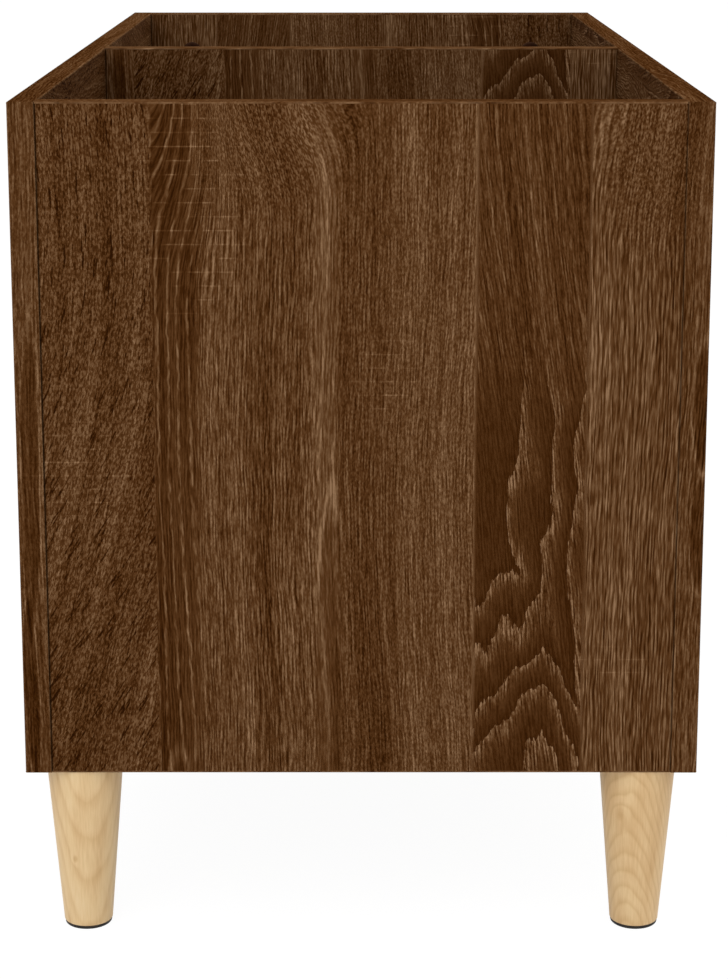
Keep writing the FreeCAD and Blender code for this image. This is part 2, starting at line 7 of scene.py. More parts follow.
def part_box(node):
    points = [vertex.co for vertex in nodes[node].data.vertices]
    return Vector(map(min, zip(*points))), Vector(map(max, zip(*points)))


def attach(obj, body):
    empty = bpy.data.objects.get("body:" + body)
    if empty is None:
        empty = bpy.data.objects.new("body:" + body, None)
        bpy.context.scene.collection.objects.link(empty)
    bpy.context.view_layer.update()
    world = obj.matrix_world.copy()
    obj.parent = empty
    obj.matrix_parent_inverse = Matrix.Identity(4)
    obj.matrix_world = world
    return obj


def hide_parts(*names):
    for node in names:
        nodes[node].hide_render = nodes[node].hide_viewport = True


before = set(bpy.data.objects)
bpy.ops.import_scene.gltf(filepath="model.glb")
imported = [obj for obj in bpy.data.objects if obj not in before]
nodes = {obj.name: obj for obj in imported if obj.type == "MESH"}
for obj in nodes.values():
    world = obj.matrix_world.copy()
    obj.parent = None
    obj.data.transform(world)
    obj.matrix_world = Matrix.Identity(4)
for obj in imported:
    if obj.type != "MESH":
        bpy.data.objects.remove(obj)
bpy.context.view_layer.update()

MM = 0.001


def span(node, axis):
    """Where a CAD node starts and ends along an axis, in millimetres. A tenth is finer than any size that
    is read here, and coarser than what the facets of a round piece miss."""
    return [round(corner["XYZ".index(axis)] / MM, 1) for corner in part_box(node)]


def middle(node, axis):
    """The plane halfway through a CAD node, in millimetres."""
    return sum(span(node, axis)) / 2


# the cabinet in millimetres, as the frame has it
NEAR_END = span("front_panel_edging", "X")[1]
INNER_SIDE, OUTER_SIDE = span("back_panel", "Y")
BOARD = OUTER_SIDE - INNER_SIDE
EDGING = NEAR_END - span("front_panel", "X")[1]
PANEL_MIDDLE = middle("front_panel_edging", "Z")

# Blender's names for the nodes that come up most
MATH = "ShaderNodeMath"
VECTOR = "ShaderNodeVectorMath"
SPLIT = "ShaderNodeSeparateXYZ"
JOIN = "ShaderNodeCombineXYZ"
RANGE = "ShaderNodeMapRange"
RAMP = "ShaderNodeValToRGB"
NOISE = "ShaderNodeTexNoise"
MIX = "ShaderNodeMix"
BUMP = "ShaderNodeBump"
PRINCIPLED = "ShaderNodeBsdfPrincipled"
SURFACE = "ShaderNodeOutputMaterial"
# a Mix node's sockets for two vectors and for two colours share their names, so they go by number
VECTOR_A, VECTOR_B, VECTOR_MIXED = 4, 5, 1
COLOUR_A, COLOUR_B, COLOUR_MIXED = 6, 7, 2
# far more millimetres than anything here is long or thick
ENDLESS = 1e6


def linear(colour):
    """An sRGB hex colour as the linear values that Blender's sockets take."""
    shares = [int(colour[i:i + 2], 16) / 255 for i in (1, 3, 5)]
    return [s / 12.92 if s <= 0.04045 else ((s + 0.055) / 1.055) ** 2.4 for s in shares] + [1.0]


def add_node(tree, kind, sockets=None, stops=None, **settings):
    """Adds one node with its settings, its ramp's stops, and a value or a link for each socket named."""
    node = tree.nodes.new(kind)
    for name, setting in settings.items():
        setattr(node, name, setting)
    for number, (position, colour) in enumerate(stops or ()):
        elements = node.color_ramp.elements
        stop = elements[number] if number < len(elements) else elements.new(1.0)
        stop.position = position
        stop.color = colour
    for name, given in (sockets or {}).items():
        if isinstance(given, bpy.types.Node):
            given = given.outputs[0]
        if isinstance(given, bpy.types.NodeSocket):
            tree.links.new(given, node.inputs[name])
        else:
            node.inputs[name].default_value = given
    return node


def flecks(tree, place, size, detail=1.0):
    """Noise stretched along the axes; size is how many millimetres a fleck takes on each of them."""
    spread = add_node(tree, VECTOR, {0: place, 1: [1 / s for s in size]}, operation="MULTIPLY")
    return add_node(tree, NOISE, {"Vector": spread, "Scale": 1.0, "Detail": detail})


def oval(tree, place, centre, reach):
    """1 at a centre, fading evenly to 0 at an oval edge; reach is its half width on each axis."""
    about = add_node(tree, "ShaderNodeMapping", {
        "Vector": place, "Location": centre, "Scale": reach}, vector_type="TEXTURE")
    return add_node(tree, "ShaderNodeTexGradient", {0: about}, gradient_type="SPHERICAL").outputs["Fac"]


# the printed sheet in millimetres, X across the grain and Y along it; it repeats both ways
SHEET_WIDTH = 380.0
SHEET_FROM = -60.0
SHEET_TO = 560.0
# its strips: where each starts and ends across the grain, its tone, how streaked it is, whether it has
# the crested figure, and how short its pores are cut; between two strips one passes into the other
STRIPS = (
    (-190.0, -176.0, 0.42, 0.35, 0.0, 0.45),
    (-175.0, -114.4, 0.47, 0.00, 0.0, 0.9),
    (-113.6, -93.0, 0.22, 1.00, 0.0, 0.2),
    (-86.0, -27.0, 0.53, 0.00, 0.0, 0.3),
    (-23.0, -15.0, 0.45, 0.60, 0.0, 0.2),
    (-9.0, 14.0, 0.38, 0.25, 0.0, 0.5),
    (24.0, 61.4, 0.56, 0.10, 0.0, 0.5),
    (61.9, 62.8, 0.62, 0.40, 0.0, 0.2),
    (63.3, 123.5, 0.32, 0.50, 1.0, 0.3),
    (124.5, 175.0, 0.53, 0.00, 0.0, 0.0),
    (176.0, 190.0, 0.43, 0.35, 0.0, 0.2),
)
# where its planks start, and over how many millimetres through the wood they are spread, so that each
# has a grain of its own
PLANK_EDGES = (-190.0, -114.0, 63.0, 124.0)
PLANK_SPREAD = 57.0


def across_sheet(place):
    """A place across the printed sheet as a ramp's position."""
    return place / SHEET_WIDTH + 0.5


# each stage of the print adds what it finds or draws to the sheet, under its name
def find_strips(tree, sheet):
    """Finds the spot on the repeating sheet, what its strip is like, and the wood of its own plank."""
    half = SHEET_WIDTH / 2
    sheet.spot = add_node(tree, VECTOR, {
        0: sheet.place, 1: (half, SHEET_TO, ENDLESS), 2: (-half, SHEET_FROM, -ENDLESS)}, operation="WRAP")
    axes = add_node(tree, SPLIT, {0: sheet.spot}).outputs
    sheet.across = axes["X"]
    sheet.along = axes["Y"]
    share = add_node(tree, MATH, {
        0: sheet.across, 1: 1 / SHEET_WIDTH, 2: across_sheet(0.0)}, operation="MULTIPLY_ADD")
    strip_stops = [(across_sheet(edge), strip[2:]) for strip in STRIPS for edge in strip[:2]]
    strips = add_node(tree, RAMP, {0: share}, strip_stops)
    sheet.tone, sheet.streaks, sheet.figure = add_node(tree, "ShaderNodeSeparateColor", {0: strips}).outputs
    sheet.short = strips.outputs["Alpha"]
    planks = len(PLANK_EDGES)
    plank_stops = [(across_sheet(edge), [n / planks] * 3 + [1.0]) for n, edge in enumerate(PLANK_EDGES)]
    plank = add_node(tree, RAMP, {0: share}, plank_stops)
    plank.color_ramp.interpolation = "CONSTANT"
    sheet.wood = add_node(tree, VECTOR, {
        0: plank, 1: (0.0, 0.0, PLANK_SPREAD), 2: sheet.place}, operation="MULTIPLY_ADD")


# how the grain wanders: the millimetres across and along that one sway takes, and how wide it is; the
# last number is for every slow pattern: how many flecks it changes by in a millimetre through the wood
WANDERINGS = (
    (230.0, 430.0, 36.0),
    (30.0, 110.0, 3.0),
)
CHANGE_THROUGH = 0.37


def let_grain_wander(tree, sheet):
    """Lets the grain wander sideways, slowly, and a little faster within that, which waver keeps."""
    sheet.grain = sheet.wood
    for across, along, sway in WANDERINGS:
        wander = flecks(tree, sheet.wood, (across, along, 1 / CHANGE_THROUGH))
        sheet.waver = add_node(tree, VECTOR, {
            0: wander.outputs["Color"], 1: (sway, 0.0, 0.0), 2: (-sway / 2, 0.0, 0.0)},
            operation="MULTIPLY_ADD")
        sheet.grain = add_node(tree, VECTOR, {0: sheet.grain, 1: sheet.waver}, operation="ADD")


# spots where the grain leans: across, along, half width, half length, the height where the lean starts,
# how much it leans, and how much shorter its pores are cut; a spot has its full lean where its fade has
# reached the level below, and the first plank has none of them
LEANING_SPOTS = (
    (-48.0, 492.0, 60.0, 90.0, 425.0, 0.26, 0.9),
    (-97.0, 495.0, 32.0, 170.0, 385.0, -0.17, 0.0),
    (158.0, 478.0, 46.0, 110.0, 400.0, -0.10, 0.8),
)
FULL_LEAN_LEVEL = 0.7
FIRST_PLANK = (-175.5, -114.0)


def lean_in_spots(tree, sheet):
    """Leans the grain over in its spots, and cuts its pores short there, but not in the first plank."""
    first_middle = sum(FIRST_PLANK) / 2
    first_half = (FIRST_PLANK[1] - FIRST_PLANK[0]) / 2
    sheet.first = add_node(tree, MATH, {
        0: sheet.across, 1: first_middle, 2: first_half}, operation="COMPARE")
    other = add_node(tree, MATH, {0: 1.0, 1: sheet.first}, operation="SUBTRACT")
    for across, along, half_width, half_length, start, lean, cut in LEANING_SPOTS:
        fade = oval(tree, sheet.spot, (across, along, 0.0), (half_width, half_length, ENDLESS))
        soft = add_node(tree, RANGE, {
            "Value": fade, "From Max": FULL_LEAN_LEVEL}, interpolation_type="SMOOTHSTEP")
        soft = add_node(tree, MATH, {0: soft, 1: other}, operation="MULTIPLY")
        rise = add_node(tree, MATH, {0: sheet.along, 1: start}, operation="SUBTRACT")
        leaning = add_node(tree, MATH, {0: rise, 1: soft}, operation="MULTIPLY")
        sheet.grain = add_node(tree, VECTOR, {
            0: leaning, 1: (lean, 0.0, 0.0), 2: sheet.grain}, operation="MULTIPLY_ADD")
        sheet.short = add_node(tree, MATH, {
            0: soft, 1: cut, 2: sheet.short}, operation="MULTIPLY_ADD", use_clamp=True)


# the first plank's checks lean by this slope, with a swing that adds most at one height and takes off
# most half a sheet away; its pores lean by a share of that, and the crested plank leans the other way
FIRST_LEAN = 0.30
FIRST_SWING = 0.45
FIRST_HEIGHT = 185.0
PORE_LEAN = 0.40
CRESTED_LEAN = 0.09


def lean_whole_planks(tree, sheet):
    """Leans the first plank's checks and pores, and the crested plank's pores, all along the sheet."""
    wave = 2 * math.pi / (SHEET_TO - SHEET_FROM)
    swing = add_node(tree, MATH, {
        0: sheet.along, 1: wave, 2: -wave * FIRST_HEIGHT}, operation="MULTIPLY_ADD")
    swing = add_node(tree, MATH, {0: swing}, operation="SINE")
    swing = add_node(tree, MATH, {0: swing, 1: FIRST_SWING / wave}, operation="MULTIPLY")
    steady = add_node(tree, SPLIT, {0: sheet.place}).outputs["Y"]
    swing = add_node(tree, MATH, {0: steady, 1: FIRST_LEAN, 2: swing}, operation="MULTIPLY_ADD")
    swing = add_node(tree, MATH, {0: swing, 1: sheet.first}, operation="MULTIPLY")
    sheet.checked_grain = add_node(tree, VECTOR, {
        0: swing, 1: (-1.0, 0.0, 0.0), 2: sheet.grain}, operation="MULTIPLY_ADD")
    crested = add_node(tree, MATH, {0: steady, 1: sheet.figure}, operation="MULTIPLY")
    for leaning, share in ((swing, -PORE_LEAN), (crested, CRESTED_LEAN)):
        sheet.grain = add_node(tree, VECTOR, {
            0: leaning, 1: (share, 0.0, 0.0), 2: sheet.grain}, operation="MULTIPLY_ADD")


# noise that runs with the grain: its millimetres across and along, and how much detail it has; real
# pores are finer, and these are drawn as coarse as they need to show
GRAIN_LAYERS = {
    "long_pores": (0.80, 8.5, 2.0),
    "short_pores": (0.75, 2.0, 1.0),
    "strings": (0.72, 24.0, 2.0),
    "fibres": (1.0, 75.0, 1.0),
    "bands": (13.0, 380.0, 2.0),
    "slips": (5.0, 28.0, 0.0),
    "drift": (26.0, 120.0, 0.0),
    "wiggle": (5.0, 7.0, 1.0),
    "breaks": (3.0, 9.0, 1.0),
}
CHECK_SIZE = (1.5, 15.0)
# a board's faces are far more than this slice apart, so that each has pores of its own
PORE_SLICE = 1.0
NOISE_MEAN = 0.5
# the levels of noise between which each layer goes from dark to pale, and a check from full to none
PORE_LEVELS = {"From Min": 0.40, "From Max": 0.62, "To Min": -0.5, "To Max": 0.5}
STRING_LEVELS = {"From Min": 0.38, "From Max": 0.58, "To Min": -0.5, "To Max": 0.5}
FIBRE_LEVELS = {"From Min": 0.32, "From Max": 0.70, "To Min": -0.5, "To Max": 0.5}
CHECK_LEVELS = {"From Min": 0.29, "From Max": 0.39, "To Min": 1.0, "To Max": 0.0}


def draw_pores(tree, sheet):
    """Draws pores, long or cut short, with strings of them, fibres, bands, and the first plank's short
    dark checks. Returns every layer of noise along the grain."""
    layers = {}
    for name, (across, along, detail) in GRAIN_LAYERS.items():
        layers[name] = flecks(tree, sheet.grain, (across, along, PORE_SLICE), detail)
    pores = add_node(tree, MIX, {
        "Factor": sheet.short, "A": layers["long_pores"], "B": layers["short_pores"]})
    sheet.pores = add_node(tree, RANGE, {"Value": pores, **PORE_LEVELS})
    sheet.strings = add_node(tree, RANGE, {"Value": layers["strings"], **STRING_LEVELS})
    sheet.fibres = add_node(tree, RANGE, {"Value": layers["fibres"], **FIBRE_LEVELS})
    sheet.bands = add_node(tree, MATH, {0: layers["bands"], 1: NOISE_MEAN}, operation="SUBTRACT")
    checks = flecks(tree, sheet.checked_grain, (*CHECK_SIZE, PORE_SLICE))
    sheet.checks = add_node(tree, RANGE, {"Value": checks, **CHECK_LEVELS})
    return layers


# lines: their spacing in millimetres, how far noise pushes them, in radians of that spacing, the part
# of their wave that shows, and the levels of noise where the streaks' lines break off
LINE_PITCH = 2.1
LINE_SLIP = 13.0
LINE_LEVELS = {"From Min": -0.6, "From Max": 0.6, "To Min": -1.0, "To Max": 1.0}
STREAK_PITCH = 7.0
STREAK_DRIFT = 9.0
STREAK_WIGGLE = 2.4
STREAK_LEVELS = {"From Min": 0.60, "From Max": 1.0}
BREAK_LEVELS = {"From Min": 0.25, "From Max": 0.55}


def pushed_lines(tree, x, pitch, pushes, levels):
    """Lines side by side along the grain, a pitch apart, that each layer of noise pushes sideways."""
    phase = add_node(tree, MATH, {0: x, 1: 2 * math.pi / pitch}, operation="MULTIPLY")
    for layer, push in pushes:
        phase = add_node(tree, MATH, {0: layer, 1: push, 2: phase}, operation="MULTIPLY_ADD")
    wave = add_node(tree, MATH, {0: phase}, operation="SINE")
    return add_node(tree, RANGE, {"Value": wave, **levels})


def draw_lines(tree, sheet, layers):
    """Draws fine pale lines that slip sideways every three centimetres or so, and for the dark streaks a
    few long pale lines that drift, wiggle and break off."""
    x = add_node(tree, SPLIT, {0: sheet.grain}).outputs["X"]
    slips = ((layers["slips"], LINE_SLIP),)
    sheet.fine_lines = pushed_lines(tree, x, LINE_PITCH, slips, LINE_LEVELS)
    pushes = ((layers["drift"], STREAK_DRIFT), (layers["wiggle"], STREAK_WIGGLE))
    streak_lines = pushed_lines(tree, x, STREAK_PITCH, pushes, STREAK_LEVELS)
    whole = add_node(tree, RANGE, {"Value": layers["breaks"], **BREAK_LEVELS})
    sheet.streak_lines = add_node(tree, MATH, {0: streak_lines, 1: whole}, operation="MULTIPLY")


# dark flames with a pale outline: across, along, half width, half length, depth
FLAMES = (
    (-182.5, 268.0, 5.6, 105.0, 0.30),
    (-184.0, 150.0, 5.0, 62.0, 0.30),
    (-17.0, 150.0, 10.0, 125.0, 0.16),
    (-104.0, 30.0, 12.0, 90.0, 0.18),
    (189.0, 312.0, 8.0, 42.0, 0.26),
    (189.0, 240.0, 7.0, 38.0, 0.26),
)
# how many times the grain's own waver they have, where in their fade the dark part and the outline are,
# and how streaked a strip has to be to show them in full
FLAME_WAVER = 3.0
FLAME_LEVELS = {"From Min": 0.12, "From Max": 0.26}
OUTLINE_LEVEL = 0.08
OUTLINE_WIDTH = {"From Max": 0.08, "To Min": 1.0, "To Max": 0.0}
FULL_FLAME_STREAKS = 0.5


def draw_flames(tree, sheet):
    """Draws long dark flames with a pale outline, in the streaked and the crested strips."""
    wavering = add_node(tree, VECTOR, {
        0: sheet.waver, 1: (FLAME_WAVER, 0.0, 0.0), 2: sheet.spot}, operation="MULTIPLY_ADD")
    flames = 0.0
    outlines = 0.0
    for across, along, half_width, half_length, depth in FLAMES:
        fade = oval(tree, wavering, (across, along, 0.0), (half_width, half_length, ENDLESS))
        dark = add_node(tree, RANGE, {"Value": fade, "To Max": depth, **FLAME_LEVELS})
        flames = add_node(tree, MATH, {0: flames, 1: dark}, operation="ADD")
        edge = add_node(tree, MATH, {0: fade, 1: OUTLINE_LEVEL}, operation="SUBTRACT")
        edge = add_node(tree, MATH, {0: edge}, operation="ABSOLUTE")
        edge = add_node(tree, RANGE, {"Value": edge, **OUTLINE_WIDTH})
        outlines = add_node(tree, MATH, {0: outlines, 1: edge}, operation="ADD")
    sheet.flaming = add_node(tree, MATH, {
        0: sheet.streaks, 1: 1 / FULL_FLAME_STREAKS, 2: sheet.figure},
        operation="MULTIPLY_ADD", use_clamp=True)
    sheet.flames = add_node(tree, MATH, {0: flames, 1: sheet.flaming}, operation="MULTIPLY")
    sheet.outlines = add_node(tree, MATH, {0: outlines, 1: sheet.flaming}, operation="MULTIPLY")


# crests: how far apart, where they peak, how steeply they climb to it and drop from it, and how their
# edge sways, as the grain's wanderings are given
CREST_PITCH = 33.0
CREST_PEAK = 102.0
CREST_CLIMB = 0.85
CREST_DROP = 1.6
CREST_SWAYS = (
    (75.0, 95.0, 70.0),
    (19.0, 42.0, 44.0),
    (1.6, 11.0, 10.0),
)
# they end upwards in a dark tongue, with others beside it: its foot, its edge, their spacing, how much
# of the crests' sway they take over, and at what part of a ring the tongue stays
TONGUE_FOOT = 240.0
TONGUE_EDGE = 84.0
TONGUE_PITCH = 17.0
TONGUE_SWAY = 0.025
TONGUE_TONE = 0.3
# in each ring the pale edge gathers from here on, by this power, and the dark wood ends here
PALE_LEVELS = {"From Min": 0.35, "From Max": 1.0}
PALE_POWER = 1.9
DARK_LEVELS = {"From Max": 0.45, "To Min": 1.0, "To Max": 0.0}
# along the sheet, they come in above its start and fade out again
CREST_START = {"From Min": SHEET_FROM + 10.0, "From Max": SHEET_FROM + 60.0}
CREST_END = {"From Min": 300.0, "From Max": 350.0, "To Min": 1.0, "To Max": 0.0}


def crest_rings(tree, sheet):
    """Rings under a lopsided peak with a ragged edge, each running from 0 to 1, up to the tongues."""
    climb = add_node(tree, MATH, {
        0: sheet.across, 1: CREST_CLIMB, 2: -CREST_CLIMB * CREST_PEAK}, operation="MULTIPLY_ADD")
    drop = add_node(tree, MATH, {
        0: sheet.across, 1: -CREST_DROP, 2: CREST_DROP * CREST_PEAK}, operation="MULTIPLY_ADD")
    peak = add_node(tree, MATH, {0: climb, 1: drop}, operation="MINIMUM")
    ragged = -TONGUE_FOOT
    for across, along, sway in CREST_SWAYS:
        swaying = flecks(tree, sheet.wood, (across, along, 1 / CHANGE_THROUGH))
        ragged = add_node(tree, MATH, {0: swaying, 1: sway, 2: ragged}, operation="MULTIPLY_ADD")
        ragged = add_node(tree, MATH, {0: ragged, 1: sway / 2}, operation="SUBTRACT")
    crest = add_node(tree, MATH, {0: sheet.along, 1: peak}, operation="SUBTRACT")
    crest = add_node(tree, MATH, {0: crest, 1: ragged}, operation="ADD")
    ring = add_node(tree, MATH, {0: crest, 1: 1 / CREST_PITCH}, operation="MULTIPLY")
    tongue = add_node(tree, MATH, {0: TONGUE_EDGE, 1: sheet.across}, operation="SUBTRACT")
    tongue = add_node(tree, MATH, {0: tongue, 1: 1 / TONGUE_PITCH}, operation="MULTIPLY")
    tongue = add_node(tree, MATH, {0: ragged, 1: TONGUE_SWAY, 2: tongue}, operation="MULTIPLY_ADD")
    tongue = add_node(tree, MATH, {0: tongue, 1: TONGUE_SWAY * TONGUE_FOOT}, operation="ADD")
    tongue = add_node(tree, MATH, {0: tongue, 1: TONGUE_TONE}, operation="MINIMUM")
    ring = add_node(tree, MATH, {0: ring, 1: tongue}, operation="MINIMUM")
    return add_node(tree, MATH, {0: ring}, operation="FRACT")


def draw_crests(tree, sheet):
    """Draws the crests: each ring ends in a pale ragged edge, with pores hanging below it and dark wood
    above, in the lower part of the crested strip."""
    ring = crest_rings(tree, sheet)
    pale = add_node(tree, RANGE, {"Value": ring, **PALE_LEVELS})
    sheet.below_edge = add_node(tree, MATH, {0: pale, 1: PALE_POWER}, operation="POWER")
    sheet.above_edge = add_node(tree, RANGE, {"Value": ring, **DARK_LEVELS})
    ending = add_node(tree, RANGE, {"Value": sheet.along, **CREST_END})
    begun = add_node(tree, RANGE, {"Value": sheet.along, **CREST_START})
    low = add_node(tree, MATH, {0: ending, 1: begun}, operation="MULTIPLY")
    sheet.crested = add_node(tree, MATH, {0: sheet.figure, 1: low}, operation="MULTIPLY")


# patches with saw marks: across, along, half width, half length, strength
SAWN_PATCHES = (
    (-90.0, 436.0, 33.0, 92.0, 1.0),
    (16.0, 326.0, 26.0, 34.0, 0.5),
    (-154.0, 275.0, 36.0, 44.0, 0.6),
    (140.0, 165.0, 26.0, 12.0, 0.5),
)
# the level of a patch's fade that gives its strength, and the marks: how far apart, from where to where
# a line's edge fades, and the size and the levels of the noise that breaks them up
SAWN_LEVEL = 0.5
SAW_PITCH = 7.6
SAW_LINE = {"From Min": 0.15, "From Max": 0.6, "To Min": 1.0, "To Max": 0.0}
SAW_BREAKS = (9.0, 5.0)
SAW_KEPT = {"From Min": 0.40, "From Max": 0.60}


def draw_saw_marks(tree, sheet):
    """Draws saw marks, pale broken lines across the grain, and the patches that have them."""
    broken = flecks(tree, sheet.place, (*SAW_BREAKS, PORE_SLICE))
    kept = add_node(tree, RANGE, {"Value": broken, **SAW_KEPT})
    bite = add_node(tree, MATH, {0: sheet.along, 1: SAW_PITCH / 2}, operation="PINGPONG")
    marks = add_node(tree, RANGE, {"Value": bite, **SAW_LINE})
    sheet.saw_marks = add_node(tree, MATH, {0: marks, 1: kept}, operation="MULTIPLY")
    sawn = 0.0
    for across, along, half_width, half_length, strength in SAWN_PATCHES:
        fade = oval(tree, sheet.spot, (across, along, 0.0), (half_width, half_length, ENDLESS))
        sawn = add_node(tree, MATH, {
            0: fade, 1: strength / SAWN_LEVEL, 2: sawn}, operation="MULTIPLY_ADD")
    sheet.sawn = add_node(tree, MATH, {0: sawn, 1: 1.0}, operation="MINIMUM")


# how much the pores give way to streaks and to flames, how lively they are at the foot and at the edge
# of a crest, how much short pores hide the fine lines, and up to how short they hang in strings
PORES_IN_STREAKS = -0.45
PORES_IN_FLAMES = -1.1
LIVELY_FOOT = 0.4
LIVELY_EDGE = 1.7
LINES_IN_SHORT_PORES = -0.8
STRUNG_LEVELS = {"From Max": 0.15, "To Min": 1.0, "To Max": 0.0}


def find_showing(tree, sheet):
    """Finds how much the layers show: fewer pores and more lines where a strip is streaked, and most
    pores at a crest's edge."""
    quiet = add_node(tree, MATH, {
        0: sheet.streaks, 1: PORES_IN_STREAKS, 2: 1.0}, operation="MULTIPLY_ADD")
    quiet = add_node(tree, MATH, {0: sheet.flames, 1: PORES_IN_FLAMES, 2: quiet}, operation="MULTIPLY_ADD")
    lively = add_node(tree, MATH, {
        0: sheet.below_edge, 1: LIVELY_EDGE - LIVELY_FOOT, 2: LIVELY_FOOT}, operation="MULTIPLY_ADD")
    sheet.porous = add_node(tree, MIX, {"Factor": sheet.crested, "A": quiet, "B": lively})
    sheet.plain = add_node(tree, MATH, {0: 1.0, 1: sheet.crested}, operation="SUBTRACT")
    lined = add_node(tree, MATH, {
        0: sheet.short, 1: LINES_IN_SHORT_PORES, 2: 1.0}, operation="MULTIPLY_ADD")
    sheet.lined = add_node(tree, MATH, {0: lined, 1: sheet.porous}, operation="MULTIPLY")
    sheet.streaked = add_node(tree, MATH, {0: sheet.streaks, 1: sheet.plain}, operation="MULTIPLY")
    sheet.strung = add_node(tree, RANGE, {"Value": sheet.short, **STRUNG_LEVELS})


# what each layer adds to the tone of the print, and what says how much it shows; where pores hang in
# strings, these stand in for a part of the pores
LAYERS = (
    ("pores", 0.45, "porous"),
    ("fibres", 0.24, "porous"),
    ("fine_lines", 0.15, "lined"),
    ("bands", 0.55, "plain"),
    ("streak_lines", 0.44, "streaked"),
    ("saw_marks", 0.34, "sawn"),
    ("below_edge", 0.42, "crested"),
    ("above_edge", -0.12, "crested"),
    ("flames", -1.0, "plain"),
    ("outlines", 0.24, "plain"),
    ("flaming", 0.08, "plain"),
    ("checks", -0.42, "first"),
    ("strings", 0.24, "strung"),
    ("pores", -0.15, "strung"),
)
OAK_TONES = (
    (0.0, "#271103"),
    (0.2, "#3b1f08"),
    (0.5, "#54351b"),
    (0.8, "#705237"),
    (1.0, "#8c6c4f"),
)


def oak_decor_print():
    """The printed oak of the boards' faces, as a node group: pale pores along dark brown grain, planks
    side by side, saw marks across them and one plank with a crested figure. Its input is a place on
    the sheet in millimetres: X across the grain, Y along it, Z through the wood; the second input lifts
    the whole tone, as painted fill light for boards that the lamps leave darker."""
    tree = bpy.data.node_groups.new("oak_decor_print", "ShaderNodeTree")
    tree.interface.new_socket("Place", in_out="INPUT", socket_type="NodeSocketVector")
    # the second input is painted fill light, a lift of the whole tone for boards that the lamps leave darker
    tree.interface.new_socket("Painted_Fill_Light", in_out="INPUT", socket_type="NodeSocketFloat")
    tree.interface.new_socket("Colour", in_out="OUTPUT", socket_type="NodeSocketColor")
    tree.interface.new_socket("Relief", in_out="OUTPUT", socket_type="NodeSocketFloat")
    given = add_node(tree, "NodeGroupInput").outputs
    sheet = SimpleNamespace(place=given["Place"])
    find_strips(tree, sheet)
    let_grain_wander(tree, sheet)
    lean_in_spots(tree, sheet)
    lean_whole_planks(tree, sheet)
    layers = draw_pores(tree, sheet)
    draw_lines(tree, sheet, layers)
    draw_flames(tree, sheet)
    draw_crests(tree, sheet)
    draw_saw_marks(tree, sheet)
    find_showing(tree, sheet)
    # the print's tone, lifted by the painted fill light
    total = add_node(tree, MATH, {0: sheet.tone, 1: given["Painted_Fill_Light"]}, operation="ADD")
    for layer, weight, showing in LAYERS:
        shown = add_node(tree, MATH, {
            0: getattr(sheet, layer), 1: getattr(sheet, showing)}, operation="MULTIPLY")
        total = add_node(tree, MATH, {0: shown, 1: weight, 2: total}, operation="MULTIPLY_ADD")
    oak = add_node(tree, RAMP, {0: total}, [(level, linear(colour)) for level, colour in OAK_TONES])
    add_node(tree, "NodeGroupOutput", {"Colour": oak, "Relief": total})
    return tree


DECOR = oak_decor_print()


def new_material(name):
    """An empty node material and its tree."""
    material = bpy.data.materials.new(name)
    material.use_nodes = True
    material.node_tree.nodes.clear()
    return material, material.node_tree


def place_in_mm(tree):
    """Object coordinates in millimetres, as a vector and as its three axes."""
    place = add_node(tree, "ShaderNodeTexCoord").outputs["Object"]
    place = add_node(tree, VECTOR, {0: place, 1: [1 / MM] * 3}, operation="MULTIPLY")
    return place, add_node(tree, SPLIT, {0: place}).outputs


RESIN_IOR = 1.5
RESIN_ROUGHNESS = {"To Min": 0.74, "To Max": 0.58}
EMBOSS = {"Strength": 0.35, "Distance": 0.12 * MM}
# the resin is as good as dead matt, and quite so on the edging
BOARD_SHINE = 0.003
EDGING_SHINE = 0.0


def finish_melamine(tree, colour, relief, shine):
    """The matt resin over the print: a little smoother where that is pale, with its shallow emboss."""
    emboss = add_node(tree, BUMP, {"Height": relief, **EMBOSS})
    rough = add_node(tree, RANGE, {"Value": relief, **RESIN_ROUGHNESS})
    shader = add_node(tree, PRINCIPLED, {
        "Base Color": colour, "Roughness": rough, "Normal": emboss,
        "IOR": RESIN_IOR, "Specular IOR Level": shine})
    add_node(tree, SURFACE, {"Surface": shader})


# how far along the sheet the cut moves on for each millimetre through a board, so that its faces differ
FACE_SLIDE = 21.0
# dust and glue in a joint, deepened with painted shade: how far from it they begin and are at their
# full, how dark they are there, and what share of that the +Y side has left, as the painted shade is
# stronger at -Y
JOINT_AND_SHADE_COLOUR = "#150902"
JOINT_BEGINS = 1.0
JOINT_FULL = 0.2
JOINT_AND_SHADE_DARKNESS = 0.9
JOINT_LEFT = 0.5


def joints_dust_and_shade(tree, colour, y):
    """A colour darkened in the joints with the long boards, partly by dust and adhesive and partly with
    painted shade, more in the one than in the other.
    """
    to_joint = add_node(tree, MATH, {0: y}, operation="ABSOLUTE")
    # the dark line at the long boards: partly dust and adhesive, partly painted shade
    joint_dust_and_shade = add_node(tree, RANGE, {
        "Value": to_joint, "From Min": INNER_SIDE - JOINT_BEGINS, "From Max": INNER_SIDE - JOINT_FULL,
        "To Max": JOINT_AND_SHADE_DARKNESS})
    # painted shade: the joint at -Y gets the full darkening, the one at +Y a share of it
    shaded_side = add_node(tree, RANGE, {
        "Value": y, "From Min": -INNER_SIDE, "From Max": INNER_SIDE, "To Min": 1.0, "To Max": JOINT_LEFT})
    joint_dust_and_shade = add_node(tree, MATH, {0: joint_dust_and_shade, 1: shaded_side}, operation="MULTIPLY")
    mixed = add_node(tree, MIX, {
        0: joint_dust_and_shade, COLOUR_A: colour, COLOUR_B: linear(JOINT_AND_SHADE_COLOUR)}, data_type="RGBA")
    return mixed.outputs[COLOUR_MIXED]


